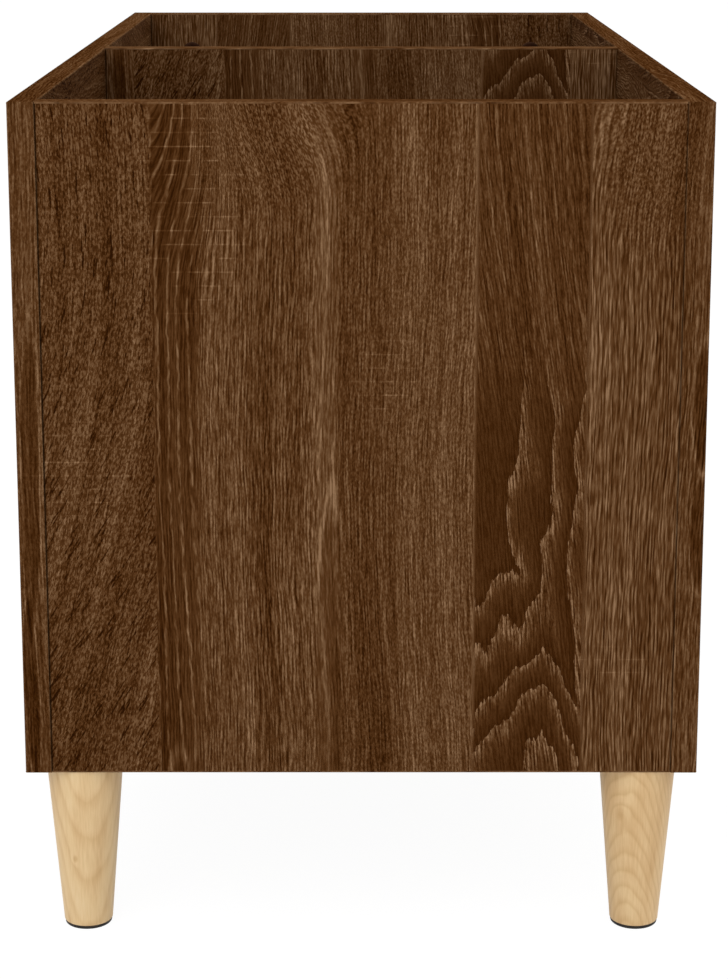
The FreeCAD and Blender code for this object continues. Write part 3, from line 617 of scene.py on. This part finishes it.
def oak_board(name, across, along, through, shift, turned=1.0, painted_fill_light=0.0):
    """Brown oak melamine: a printed sheet under matt resin, so all figure and hardly any sheen, over pores
    that are only faintly felt. across, along and through name the board's own axes, shift says where
    on the printed sheet it was cut, turned is -1 for a sheet turned over, and the last argument lifts
    its tone as painted fill light, for boards inside the cabinet that the lamps leave darker."""
    material, tree = new_material(f"brown_oak_melamine_{name}")
    axes = place_in_mm(tree)[1]
    side = add_node(tree, MATH, {0: axes[through], 1: middle(name, through)}, operation="SUBTRACT")
    u = add_node(tree, MATH, {0: axes[across], 1: turned, 2: shift[0]}, operation="MULTIPLY_ADD")
    v = add_node(tree, MATH, {0: axes[along], 1: shift[1]}, operation="ADD")
    v = add_node(tree, MATH, {0: side, 1: FACE_SLIDE, 2: v}, operation="MULTIPLY_ADD")
    place = add_node(tree, JOIN, {0: u, 1: v, 2: side})
    decor = add_node(tree, "ShaderNodeGroup", {"Place": place, "Painted_Fill_Light": painted_fill_light}, node_tree=DECOR)
    colour = decor.outputs["Colour"]
    # boards that run across Y darken at their joints with the long boards, partly dust and glue and partly
    # painted shade
    if across == "Y":
        colour = joints_dust_and_shade(tree, colour, axes["Y"])
    finish_melamine(tree, colour, decor.outputs["Relief"], BOARD_SHINE)
    return material


# where through the wood of the sheet the lying strips are cut
STRIP_CUT = 31.0
# the arrises, lighter in patches, partly rubbed and partly a painted highlight where their rounding
# catches the light: their width, their colour, and the size, detail and levels of the patches they are
# lighter in
RUB_WIDTH = 1.0
RUB_AND_HIGHLIGHT_COLOUR = "#8a6a4c"
RUB_PATCH = 16.0
RUB_DETAIL = 3.0
RUB_LEVELS = {"From Min": 0.35, "From Max": 0.7, "To Max": 0.55}
# the glue line beside an end board, deepened with painted shade of the seam: how far from it the line
# is full and ends, and how dark it is
GLUE_FULL = 0.15
GLUE_ENDS = 0.7
GLUE_AND_SHADE_DARKNESS = 0.85


def rubbed_and_highlit_arrises(tree, colour, place, off):
    """A colour lighter in patches along a strip's two arrises, partly as wear and partly as a painted
    highlight; off is the distance from its middle.
    """
    rub = add_node(tree, NOISE, {"Vector": place, "Scale": 1 / RUB_PATCH, "Detail": RUB_DETAIL})
    rub = add_node(tree, RANGE, {"Value": rub, **RUB_LEVELS})
    to_arris = add_node(tree, MATH, {0: off}, operation="ABSOLUTE")
    worn_and_highlit = add_node(tree, RANGE, {
        "Value": to_arris, "From Min": BOARD / 2 - RUB_WIDTH, "From Max": BOARD / 2})
    worn_and_highlit = add_node(tree, MATH, {0: worn_and_highlit, 1: rub}, operation="MULTIPLY")
    mixed = add_node(tree, MIX, {
        0: worn_and_highlit, COLOUR_A: colour, COLOUR_B: linear(RUB_AND_HIGHLIGHT_COLOUR)}, data_type="RGBA")
    return mixed.outputs[COLOUR_MIXED]


def glue_and_shade_lines(tree, colour, y, standing):
    """A colour with a dark line of adhesive where a standing strip meets an end board, deepened with
    painted shade of the seam.
    """
    from_middle = add_node(tree, MATH, {0: y}, operation="ABSOLUTE")
    glue_and_shade = add_node(tree, RANGE, {
        "Value": from_middle, "From Min": INNER_SIDE + GLUE_FULL, "From Max": INNER_SIDE + GLUE_ENDS,
        "To Min": GLUE_AND_SHADE_DARKNESS, "To Max": 0.0})
    glue_and_shade = add_node(tree, MATH, {0: glue_and_shade, 1: standing}, operation="MULTIPLY")
    mixed = add_node(tree, MIX, {
        0: glue_and_shade, COLOUR_A: colour, COLOUR_B: linear(JOINT_AND_SHADE_COLOUR)}, data_type="RGBA")
    return mixed.outputs[COLOUR_MIXED]


def oak_edging(name, across, along, shift, uprights=False):
    """Glued edging: the same print with its grain along each strip, lighter along the arrises, partly from
    wear and partly as a painted highlight. With uprights, the strips at the cabinet's ends are cut from
    the sheet where the near end board leaves off, and have a dark line of adhesive beside the end
    boards, deepened with painted shade."""
    material, tree = new_material(f"brown_oak_{name}")
    place, axes = place_in_mm(tree)
    off = add_node(tree, MATH, {0: axes[across], 1: middle(name, across)}, operation="SUBTRACT")
    u = add_node(tree, MATH, {0: off, 1: shift[0]}, operation="ADD")
    v = add_node(tree, MATH, {0: axes[along], 1: shift[1]}, operation="ADD")
    cut = add_node(tree, JOIN, {0: u, 1: v, 2: STRIP_CUT})
    if uprights:
        out = add_node(tree, MATH, {0: axes["X"]}, operation="ABSOLUTE")
        standing = add_node(tree, MATH, {0: out, 1: NEAR_END - EDGING}, operation="GREATER_THAN")
        upright = add_node(tree, JOIN, {0: axes["Y"], 1: axes["Z"], 2: BOARD / 2})
        cut = add_node(tree, MIX, {0: standing, VECTOR_A: cut, VECTOR_B: upright}, data_type="VECTOR")
        cut = cut.outputs[VECTOR_MIXED]
    decor = add_node(tree, "ShaderNodeGroup", {"Place": cut}, node_tree=DECOR)
    # the arrises lighter in patches: partly wear, partly painted highlight
    colour = rubbed_and_highlit_arrises(tree, decor.outputs["Colour"], place, off)
    if uprights:
        # the dark seam line: adhesive, deepened with painted shade
        colour = glue_and_shade_lines(tree, colour, axes["Y"], standing)
    finish_melamine(tree, colour, decor.outputs["Relief"], EDGING_SHINE)
    return material


PINE_TONES = (
    (0.0, "#bc9460"),
    (0.35, "#d1ad7d"),
    (0.6, "#dfc091"),
    (1.0, "#ecd3aa"),
)
# how a ring goes from its pale early wood to its dark late wood, and back
LATE_WOOD = (
    (0.0, 0.35),
    (0.12, 0.0),
    (0.55, 0.12),
    (0.90, 0.9),
    (1.0, 0.35),
)
# millimetres across, across and up the leg: the rings' wandering, the fibres, drawn coarser than they
# are so that they show, and the patches
RING_WANDER = (13.0, 13.0, 34.0)
FIBRE_SIZE = (0.9, 0.9, 26.0)
PATCH_SIZE = (11.0, 11.0, 50.0)
# how far the rings wander and give way round a knot, how far a knot reaches along X, how many times as
# high as wide it is, and the levels of its fade where its dark heart is
RING_SWAY = 3.2
KNOT_PUSH = 2.2
KNOT_DEPTH = 9.0
KNOT_HEIGHT = 1.6
HEART_LEVELS = {"From Min": 0.55, "From Max": 0.85}
# the leg's tone before anything is added, and what late wood, fibres and patches add to it
PINE_TONE = 0.13
LATE_SHARE = -0.20
FIBRE_SHARE = 0.35
PATCH_SHARE = 0.55
LACQUER_IOR = 1.5
LACQUER_SHINE = 0.25
LACQUER_ROUGHNESS = {"To Min": 0.5, "To Max": 0.4}
FIBRE_EMBOSS = {"Strength": 0.25, "Distance": 0.08 * MM}


def pine_rings(tree, place, near_knot, pith, slant, pitch):
    """The part of its growth ring that each place is in, from 0 to 1, round a pith beside the leg."""
    height = add_node(tree, SPLIT, {0: place}).outputs["Z"]
    flat = add_node(tree, VECTOR, {
        0: place, 1: (1.0, 1.0, 0.0), 2: (-pith[0], -pith[1], 0.0)}, operation="MULTIPLY_ADD")
    radius = add_node(tree, VECTOR, {0: flat}, operation="LENGTH").outputs["Value"]
    wander = flecks(tree, place, RING_WANDER)
    for push, share in ((height, slant), (wander, RING_SWAY), (near_knot, KNOT_PUSH)):
        radius = add_node(tree, MATH, {0: push, 1: share, 2: radius}, operation="MULTIPLY_ADD")
    ring = add_node(tree, MATH, {0: radius, 1: 1 / pitch}, operation="MULTIPLY")
    return add_node(tree, MATH, {0: ring}, operation="FRACT")


def turned_pine(name, pith, slant, pitch, knot, knot_size, knot_darkness, shade=0.0):
    """Turned pine under clear satin lacquer: soft brown rings round a pith outside the leg, which the taper
    cuts into arches or long lines, fine fibres along it, and a warm sheen. pith is a place beside the
    leg's axis, slant how much the rings lean on the way up, pitch their width and knot the place of
    a knot, in millimetres from the axis and the floor; shade darkens the whole leg."""
    material, tree = new_material(f"turned_pine_{name}")
    axis = (middle(name, "X"), middle(name, "Y"), 0.0)
    place = add_node(tree, VECTOR, {0: place_in_mm(tree)[0], 1: axis}, operation="SUBTRACT")
    near_knot = oval(tree, place, knot, (KNOT_DEPTH, knot_size, KNOT_HEIGHT * knot_size))
    ring = pine_rings(tree, place, near_knot, pith, slant, pitch)
    late = add_node(tree, RAMP, {0: ring}, [(part, [dark] * 3 + [1.0]) for part, dark in LATE_WOOD])
    fibre = flecks(tree, place, FIBRE_SIZE)
    patch = flecks(tree, place, PATCH_SIZE)
    heart = add_node(tree, RANGE, {"Value": near_knot, **HEART_LEVELS})
    tone = PINE_TONE - shade
    for layer, share in (
            (late, LATE_SHARE), (fibre, FIBRE_SHARE), (patch, PATCH_SHARE), (heart, -knot_darkness)):
        tone = add_node(tree, MATH, {0: layer, 1: share, 2: tone}, operation="MULTIPLY_ADD")
    pine = add_node(tree, RAMP, {0: tone}, [(level, linear(colour)) for level, colour in PINE_TONES])
    grain = add_node(tree, BUMP, {"Height": fibre, **FIBRE_EMBOSS})
    rough = add_node(tree, RANGE, {"Value": late, **LACQUER_ROUGHNESS})
    shader = add_node(tree, PRINCIPLED, {
        "Base Color": pine, "Roughness": rough, "Normal": grain,
        "IOR": LACQUER_IOR, "Specular IOR Level": LACQUER_SHINE})
    add_node(tree, SURFACE, {"Surface": shader})
    return material


# where patches times grit is dark and pale, their detail, how the grit is felt, and a rim's wear
MOTTLE_DARK = 0.12
MOTTLE_PALE = 0.40
PATCH_DETAIL = 2.0
GRIT_DETAIL = 1.0
GRIT_STRENGTH = 0.4
WORN_LEVELS = {"From Min": 0.75, "From Max": 1.0, "To Max": 0.5}
RIM_MARK = "rim"


def mottled(name, dark, pale, patch, grit, rough, bump, stretch=(1.0, 1.0, 1.0), metallic=0.0, shine=0.3,
            worn_rim=None):
    """A material of one substance that is never quite even: patches and grit, both sizes in millimetres,
    stretched where it is drawn or grown that way, with the grit felt as bump, and drawn coarser than
    it is so that it shows. worn_rim is the colour rubbed through where the mesh's rim attribute
    nears 1."""
    material, tree = new_material(name)
    place = place_in_mm(tree)[0]
    place = add_node(tree, VECTOR, {0: place, 1: [1 / s for s in stretch]}, operation="MULTIPLY")
    clouds = add_node(tree, NOISE, {"Vector": place, "Scale": 1 / patch, "Detail": PATCH_DETAIL})
    grains = add_node(tree, NOISE, {"Vector": place, "Scale": 1 / grit, "Detail": GRIT_DETAIL})
    tone = add_node(tree, MATH, {0: clouds, 1: grains}, operation="MULTIPLY")
    tones = ((MOTTLE_DARK, linear(dark)), (MOTTLE_PALE, linear(pale)))
    colour = add_node(tree, RAMP, {0: tone}, tones).outputs["Color"]
    if worn_rim:
        rim = add_node(tree, "ShaderNodeAttribute", attribute_name=RIM_MARK).outputs["Fac"]
        rim = add_node(tree, RANGE, {"Value": rim, **WORN_LEVELS})
        rim = add_node(tree, MATH, {0: rim, 1: clouds}, operation="MULTIPLY")
        colour = add_node(tree, MIX, {
            0: rim, COLOUR_A: colour, COLOUR_B: linear(worn_rim)}, data_type="RGBA")
        colour = colour.outputs[COLOUR_MIXED]
    felt = add_node(tree, BUMP, {"Strength": GRIT_STRENGTH, "Distance": bump * MM, "Height": grains})
    roughness = add_node(tree, RANGE, {"Value": clouds, "To Min": rough[0], "To Max": rough[1]})
    shader = add_node(tree, PRINCIPLED, {
        "Base Color": colour, "Roughness": roughness, "Normal": felt, "Metallic": metallic})
    if not metallic:
        shader.inputs["Specular IOR Level"].default_value = shine
    add_node(tree, SURFACE, {"Surface": shader})
    return material


# where on the printed sheet each board is cut; the near end's outer face shows it as it lies
BOARD_CUTS = {
    "right_end_panel": dict(across="Y", along="Z", through="X", shift=(0.0, -FACE_SLIDE * BOARD / 2)),
    # the left end and the divider stand inside the cabinet; their tone is lifted as painted fill light, as
    # the lamps leave them darker
    "left_end_panel": dict(across="Y", along="Z", through="X", shift=(4.0, -232.0), turned=-1.0, painted_fill_light=0.04),
    "centre_divider": dict(across="Y", along="Z", through="X", shift=(-20.0, -467.5), painted_fill_light=0.04),
    "front_panel": dict(across="Z", along="X", through="Y", shift=(30.0 - PANEL_MIDDLE, 205.0)),
    "back_panel": dict(across="Z", along="X", through="Y", shift=(PANEL_MIDDLE - 75.0, 480.0), turned=-1.0),
    "bottom_panel": dict(across="Y", along="X", through="Z", shift=(130.0, 40.0)),
}
EDGING_CUTS = {
    # painted shade: the long boards' lying strips are cut from a darker part of the print, so that the lamps
    # above leave the rims no lighter than the faces
    "front_panel_edging": dict(across="Y", along="X", shift=(2.0, 90.0), uprights=True),
    "back_panel_edging": dict(across="Y", along="X", shift=(4.0, 300.0), uprights=True),
    "right_end_edging": dict(across="X", along="Y", shift=(2.0, 40.0)),
    "left_end_edging": dict(across="X", along="Y", shift=(12.0, 310.0)),
    "divider_edging": dict(across="X", along="Y", shift=(150.0, 180.0)),
}
LEG_CUTS = {
    "leg_front_right": dict(
        pith=(-70.0, -14.0), slant=0.09, pitch=4.6,
        knot=(17.0, -5.0, 45.0), knot_size=4.0, knot_darkness=0.30),
    "leg_back_right": dict(
        pith=(-70.0, 30.0), slant=-0.30, pitch=2.6, shade=0.12,
        knot=(16.0, -11.0, 73.0), knot_size=8.0, knot_darkness=0.16),
    "leg_front_left": dict(
        pith=(70.0, 30.0), slant=0.22, pitch=2.6, shade=0.03,
        knot=(-17.0, -4.0, 70.0), knot_size=4.0, knot_darkness=0.30),
    "leg_back_left": dict(
        pith=(-20.0, 80.0), slant=0.08, pitch=3.8, shade=0.06,
        knot=(4.0, 17.0, 55.0), knot_size=5.0, knot_darkness=0.30),
}

# moulded black pad: nearly black, with the fine grain of its mould and a dull sheen
PAD = mottled(
    "black_moulded_pad", dark="#120f0d", pale="#2b2622", patch=6.0, grit=0.9, rough=(0.5, 0.75), bump=0.1)
# brown cap plastic: dark, with next to no gloss, rubbed paler round the rim
CAP = mottled(
    "brown_cap_plastic", dark="#1d0b02", pale="#321606", patch=5.0, grit=0.8, rough=(0.42, 0.58), bump=0.05,
    shine=0.06, worn_rim="#543721")
# die-cast zinc: grey and cloudy, with a cast skin's soft highlights
CAST_ZINC = mottled(
    "die_cast_zinc", dark="#6f7274", pale="#a9abab", patch=3.0, grit=0.7, rough=(0.38, 0.6), bump=0.08,
    metallic=1.0)
# zinc-plated steel: brighter and bluer, with streaks along the shanks
PLATED = mottled(
    "zinc_plated_steel", dark="#8f969b", pale="#c9cdd0", patch=4.0, grit=0.6, rough=(0.22, 0.4), bump=0.04,
    stretch=(1.0, 3.0, 3.0), metallic=1.0)
# beech: pink-brown and flecked, dry and unfinished
BEECH = mottled(
    "beech_dowel", dark="#a97c52", pale="#d8b189", patch=4.0, grit=0.7, rough=(0.6, 0.75), bump=0.1,
    stretch=(1.0, 5.0, 1.0))
# the finish of each small part, by what its name holds
SMALL_PARTS = {
    "foot_pad": PAD,
    "cam_caps": CAP,
    "cam_bolts": PLATED,
    "_cams": CAST_ZINC,
    "dowels": BEECH,
    "foot_nails": PLATED,
    "leg_hanger_bolts": PLATED,
    "leg_insert_nuts": PLATED,
}

for name, node in nodes.items():
    if name in BOARD_CUTS:
        dressed = oak_board(name, **BOARD_CUTS[name])
    elif name in EDGING_CUTS:
        dressed = oak_edging(name, **EDGING_CUTS[name])
    elif name in LEG_CUTS:
        dressed = turned_pine(name, **LEG_CUTS[name])
    else:
        dressed = next(finish for part, finish in SMALL_PARTS.items() if part in name)
    node.data.materials.clear()
    node.data.materials.append(dressed)

# a cap in millimetres, how square its turned-over rim is and a round one would be, how finely it is
# drawn, and the distance in metres within which its points are one
CAP_DIAMETER = 17.0
CAP_THICKNESS = span("right_end_panel", "X")[0] - span("right_end_cam_caps", "X")[0]
CAP_SQUARENESS = 5.0
ROUND = 2.0
CAP_SPOKES = 48
CAP_RINGS = 24
ONE_POINT = 1e-6


def rolled_cap(tree, given):
    """One cap: a sheet one unit square, rolled up so that X goes round the cap, and Y from its top over the
    rim to below. A mesh attribute runs to 1 at the rim."""
    sheet = add_node(tree, "GeometryNodeMeshGrid", {
        "Size X": 1.0, "Size Y": 1.0, "Vertices X": CAP_SPOKES + 1, "Vertices Y": CAP_RINGS + 1})
    where = add_node(tree, SPLIT, {0: add_node(tree, "GeometryNodeInputPosition")}).outputs
    turn = add_node(tree, MATH, {0: where["X"], 1: 2 * math.pi}, operation="MULTIPLY")
    over = add_node(tree, MATH, {0: where["Y"], 1: math.pi, 2: math.pi / 2}, operation="MULTIPLY_ADD")
    power = add_node(tree, MATH, {0: ROUND, 1: given["Squareness"]}, operation="DIVIDE")
    rounded = {}
    for way, wave in (("outward", "SINE"), ("upward", "COSINE")):
        share = add_node(tree, MATH, {0: over}, operation=wave)
        share = add_node(tree, MATH, {0: share, 1: 0.0}, operation="MAXIMUM")
        rounded[way] = add_node(tree, MATH, {0: share, 1: power}, operation="POWER")
    reach = add_node(tree, MATH, {0: rounded["outward"], 1: given["Diameter"]}, operation="MULTIPLY")
    reach = add_node(tree, MATH, {0: reach, 1: 0.5}, operation="MULTIPLY")
    high = add_node(tree, MATH, {0: rounded["upward"], 1: given["Thickness"]}, operation="MULTIPLY")
    cosine = add_node(tree, MATH, {0: turn}, operation="COSINE")
    sine = add_node(tree, MATH, {0: turn}, operation="SINE")
    x = add_node(tree, MATH, {0: reach, 1: cosine}, operation="MULTIPLY")
    y = add_node(tree, MATH, {0: reach, 1: sine}, operation="MULTIPLY")
    rolled = add_node(tree, JOIN, {0: x, 1: y, 2: high})
    marked = add_node(tree, "GeometryNodeStoreNamedAttribute", {
        "Geometry": sheet.outputs["Mesh"], "Name": RIM_MARK, "Value": rounded["outward"]},
        data_type="FLOAT", domain="POINT")
    cap = add_node(tree, "GeometryNodeSetPosition", {"Geometry": marked, "Position": rolled})
    return add_node(tree, "GeometryNodeMergeByDistance", {"Geometry": cap, "Distance": ONE_POINT})


def moulded_caps():
    """The caps as a geometry tree: at every point of the mesh it is given, a round cap with a flat top that
    turns over at its rim, closed below."""
    tree = bpy.data.node_groups.new("moulded_caps", "GeometryNodeTree")
    tree.is_modifier = True
    for name, kind in (("Geometry", "Geometry"), ("Diameter", "Float"), ("Thickness", "Float"),
                       ("Squareness", "Float"), ("Facing", "Vector"), ("Finish", "Material")):
        tree.interface.new_socket(name, in_out="INPUT", socket_type=f"NodeSocket{kind}")
    tree.interface.new_socket("Geometry", in_out="OUTPUT", socket_type="NodeSocketGeometry")
    given = add_node(tree, "NodeGroupInput").outputs
    cap = rolled_cap(tree, given)
    aim = add_node(tree, "FunctionNodeEulerToRotation", {0: given["Facing"]})
    spread = add_node(tree, "GeometryNodeInstanceOnPoints", {
        "Points": given["Geometry"], "Instance": cap, "Rotation": aim})
    made = add_node(tree, "GeometryNodeRealizeInstances", {"Geometry": spread})
    made = add_node(tree, "GeometryNodeSetMaterial", {"Geometry": made, "Material": given["Finish"]})
    add_node(tree, "NodeGroupOutput", {"Geometry": made})
    return tree


CAP_TREE = moulded_caps()
# the face of the board that each row of caps sits on, and which way it faces along X
CAP_FACES = {
    "right_end_cam_caps": (span("right_end_panel", "X")[0], -1),
    "left_end_cam_caps": (span("left_end_panel", "X")[1], 1),
    "divider_cam_caps": (span("centre_divider", "X")[0], -1),
}


def cap_centres(name, face):
    """The middles of the four caps on a board's face, in metres: high and low beside the long boards."""
    front, back = span(name, "Y")
    low, high = span(name, "Z")
    inset = CAP_DIAMETER / 2
    rows = [(y, z) for y in (front + inset, back - inset) for z in (high - inset, low + inset)]
    return [(face * MM, y * MM, z * MM) for y, z in rows]


for name, (face, facing) in CAP_FACES.items():
    spots = bpy.data.meshes.new(f"{name}_spots")
    spots.from_pydata(cap_centres(name, face), [], [])
    caps = bpy.data.objects.new(f"{name}_moulded", spots)
    bpy.context.scene.collection.objects.link(caps)
    maker = caps.modifiers.new("moulded_caps", "NODES")
    maker.node_group = CAP_TREE
    wanted = {
        "Diameter": CAP_DIAMETER * MM, "Thickness": CAP_THICKNESS * MM, "Squareness": CAP_SQUARENESS,
        "Facing": (0.0, facing * math.pi / 2, 0.0), "Finish": CAP}
    for socket in CAP_TREE.interface.items_tree:
        if socket.in_out == "INPUT" and socket.name in wanted:
            maker[socket.identifier] = wanted[socket.name]
    made = caps.evaluated_get(bpy.context.evaluated_depsgraph_get())
    finished = bpy.data.meshes.new_from_object(made)
    caps.modifiers.clear()
    caps.data = finished
    for polygon in finished.polygons:
        polygon.use_smooth = True
    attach(caps, "root")
    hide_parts(name)

# the floor, in metres, lies just under the pads
FLOOR_SIZE = 60.0
FLOOR_LEVEL = -0.1 * MM
FLOOR_COLOUR = "#f4f4f4"
WHITE = "#ffffff"
# how much of its own white the floor shows in place of the light on it, and how bright that is
FLOOR_VEIL = 0.90
FLOOR_GLOW = 1.06
# the surround as light on the cabinet, and as it is seen
SURROUND_LIGHT = {"To Min": 0.72, "To Max": 1.0}


def looked_at(tree):
    """1 where the camera looks, straight or by a shiny surface, and 0 where light only bounces."""
    path = add_node(tree, "ShaderNodeLightPath").outputs
    return add_node(tree, MATH, {0: path["Is Camera Ray"], 1: path["Is Glossy Ray"]}, operation="MAXIMUM")


def white_floor():
    """Matt white paper, nearly washed out by light: it keeps a faint shadow where the cabinet stands, and
    seen from below it lets the view through to the cabinet's underside."""
    material, tree = new_material("white_floor")
    veil = add_node(tree, MATH, {0: looked_at(tree), 1: FLOOR_VEIL}, operation="MULTIPLY")
    matt = add_node(tree, "ShaderNodeBsdfDiffuse", {"Color": linear(FLOOR_COLOUR)})
    white = add_node(tree, "ShaderNodeEmission", {"Color": linear(WHITE), "Strength": FLOOR_GLOW})
    paper = add_node(tree, "ShaderNodeMixShader", {0: veil, 1: matt, 2: white})
    below = add_node(tree, "ShaderNodeNewGeometry").outputs["Backfacing"]
    straight = add_node(tree, "ShaderNodeLightPath").outputs["Is Camera Ray"]
    below = add_node(tree, MATH, {0: below, 1: straight}, operation="MULTIPLY")
    clear = add_node(tree, "ShaderNodeBsdfTransparent")
    paper = add_node(tree, "ShaderNodeMixShader", {0: below, 1: paper, 2: clear})
    add_node(tree, SURFACE, {"Surface": paper})
    return material


def soft_surround():
    """A white surround that is a little darker as light than it looks."""
    world = bpy.data.worlds.new("soft_surround")
    world.use_nodes = True
    tree = world.node_tree
    tree.nodes.clear()
    level = add_node(tree, RANGE, {"Value": looked_at(tree), **SURROUND_LIGHT})
    sky = add_node(tree, "ShaderNodeBackground", {"Color": linear(WHITE), "Strength": level})
    add_node(tree, "ShaderNodeOutputWorld", {"Surface": sky})
    return world


bpy.ops.mesh.primitive_plane_add(size=FLOOR_SIZE, location=(0.0, 0.0, FLOOR_LEVEL))
floor = bpy.context.object
floor.name = "floor"
floor.data.materials.append(white_floor())
bpy.context.scene.world = soft_surround()

# square soft lamps, in metres and watts: place, where they face, side, power
SOFTBOXES = {
    "lamp_over_near_end": ((2.2, -0.9, 2.2), (0.2, 0.0, 0.3), 1.8, 24.0),
    "lamp_above": ((0.3, 0.4, 2.8), (0.0, 0.0, 0.3), 2.2, 24.0),
    "lamp_behind": ((-2.4, 1.6, 1.6), (0.0, 0.0, 0.3), 1.6, 14.0),
}
for name, (place, aim, side, power) in SOFTBOXES.items():
    lamp = bpy.data.lights.new(name, "AREA")
    lamp.size = side
    lamp.energy = power
    holder = bpy.data.objects.new(name, lamp)
    holder.location = place
    holder.rotation_euler = (Vector(aim) - Vector(place)).to_track_quat("-Z", "Y").to_euler()
    bpy.context.scene.collection.objects.link(holder)

# the camera looks along the cabinet's length, from above the rim: its place, its dip in degrees, its
# lens and sensor in millimetres, and the lens's shift in widths of the sensor
CAMERA_FROM_NEAR_END = 1285.8
CAMERA_HEIGHT = 609.2
CAMERA_DIP = 11.69
CAMERA_LENS = 88.4
CAMERA_SENSOR = 36.0
CAMERA_SHIFT_X = 0.0029
CAMERA_SHIFT_Y = -0.14
camera = bpy.data.cameras.new("camera")
camera.lens = CAMERA_LENS
camera.sensor_width = CAMERA_SENSOR
camera.shift_x = CAMERA_SHIFT_X
camera.shift_y = CAMERA_SHIFT_Y
camera_holder = bpy.data.objects.new("camera", camera)
bpy.context.scene.collection.objects.link(camera_holder)
camera_holder.location = ((NEAR_END + CAMERA_FROM_NEAR_END) * MM, 0.0, CAMERA_HEIGHT * MM)
camera_holder.rotation_euler = (math.radians(90.0 - CAMERA_DIP), 0.0, math.radians(90.0))
bpy.context.scene.camera = camera_holder

bpy.context.scene.view_settings.view_transform = "Standard"
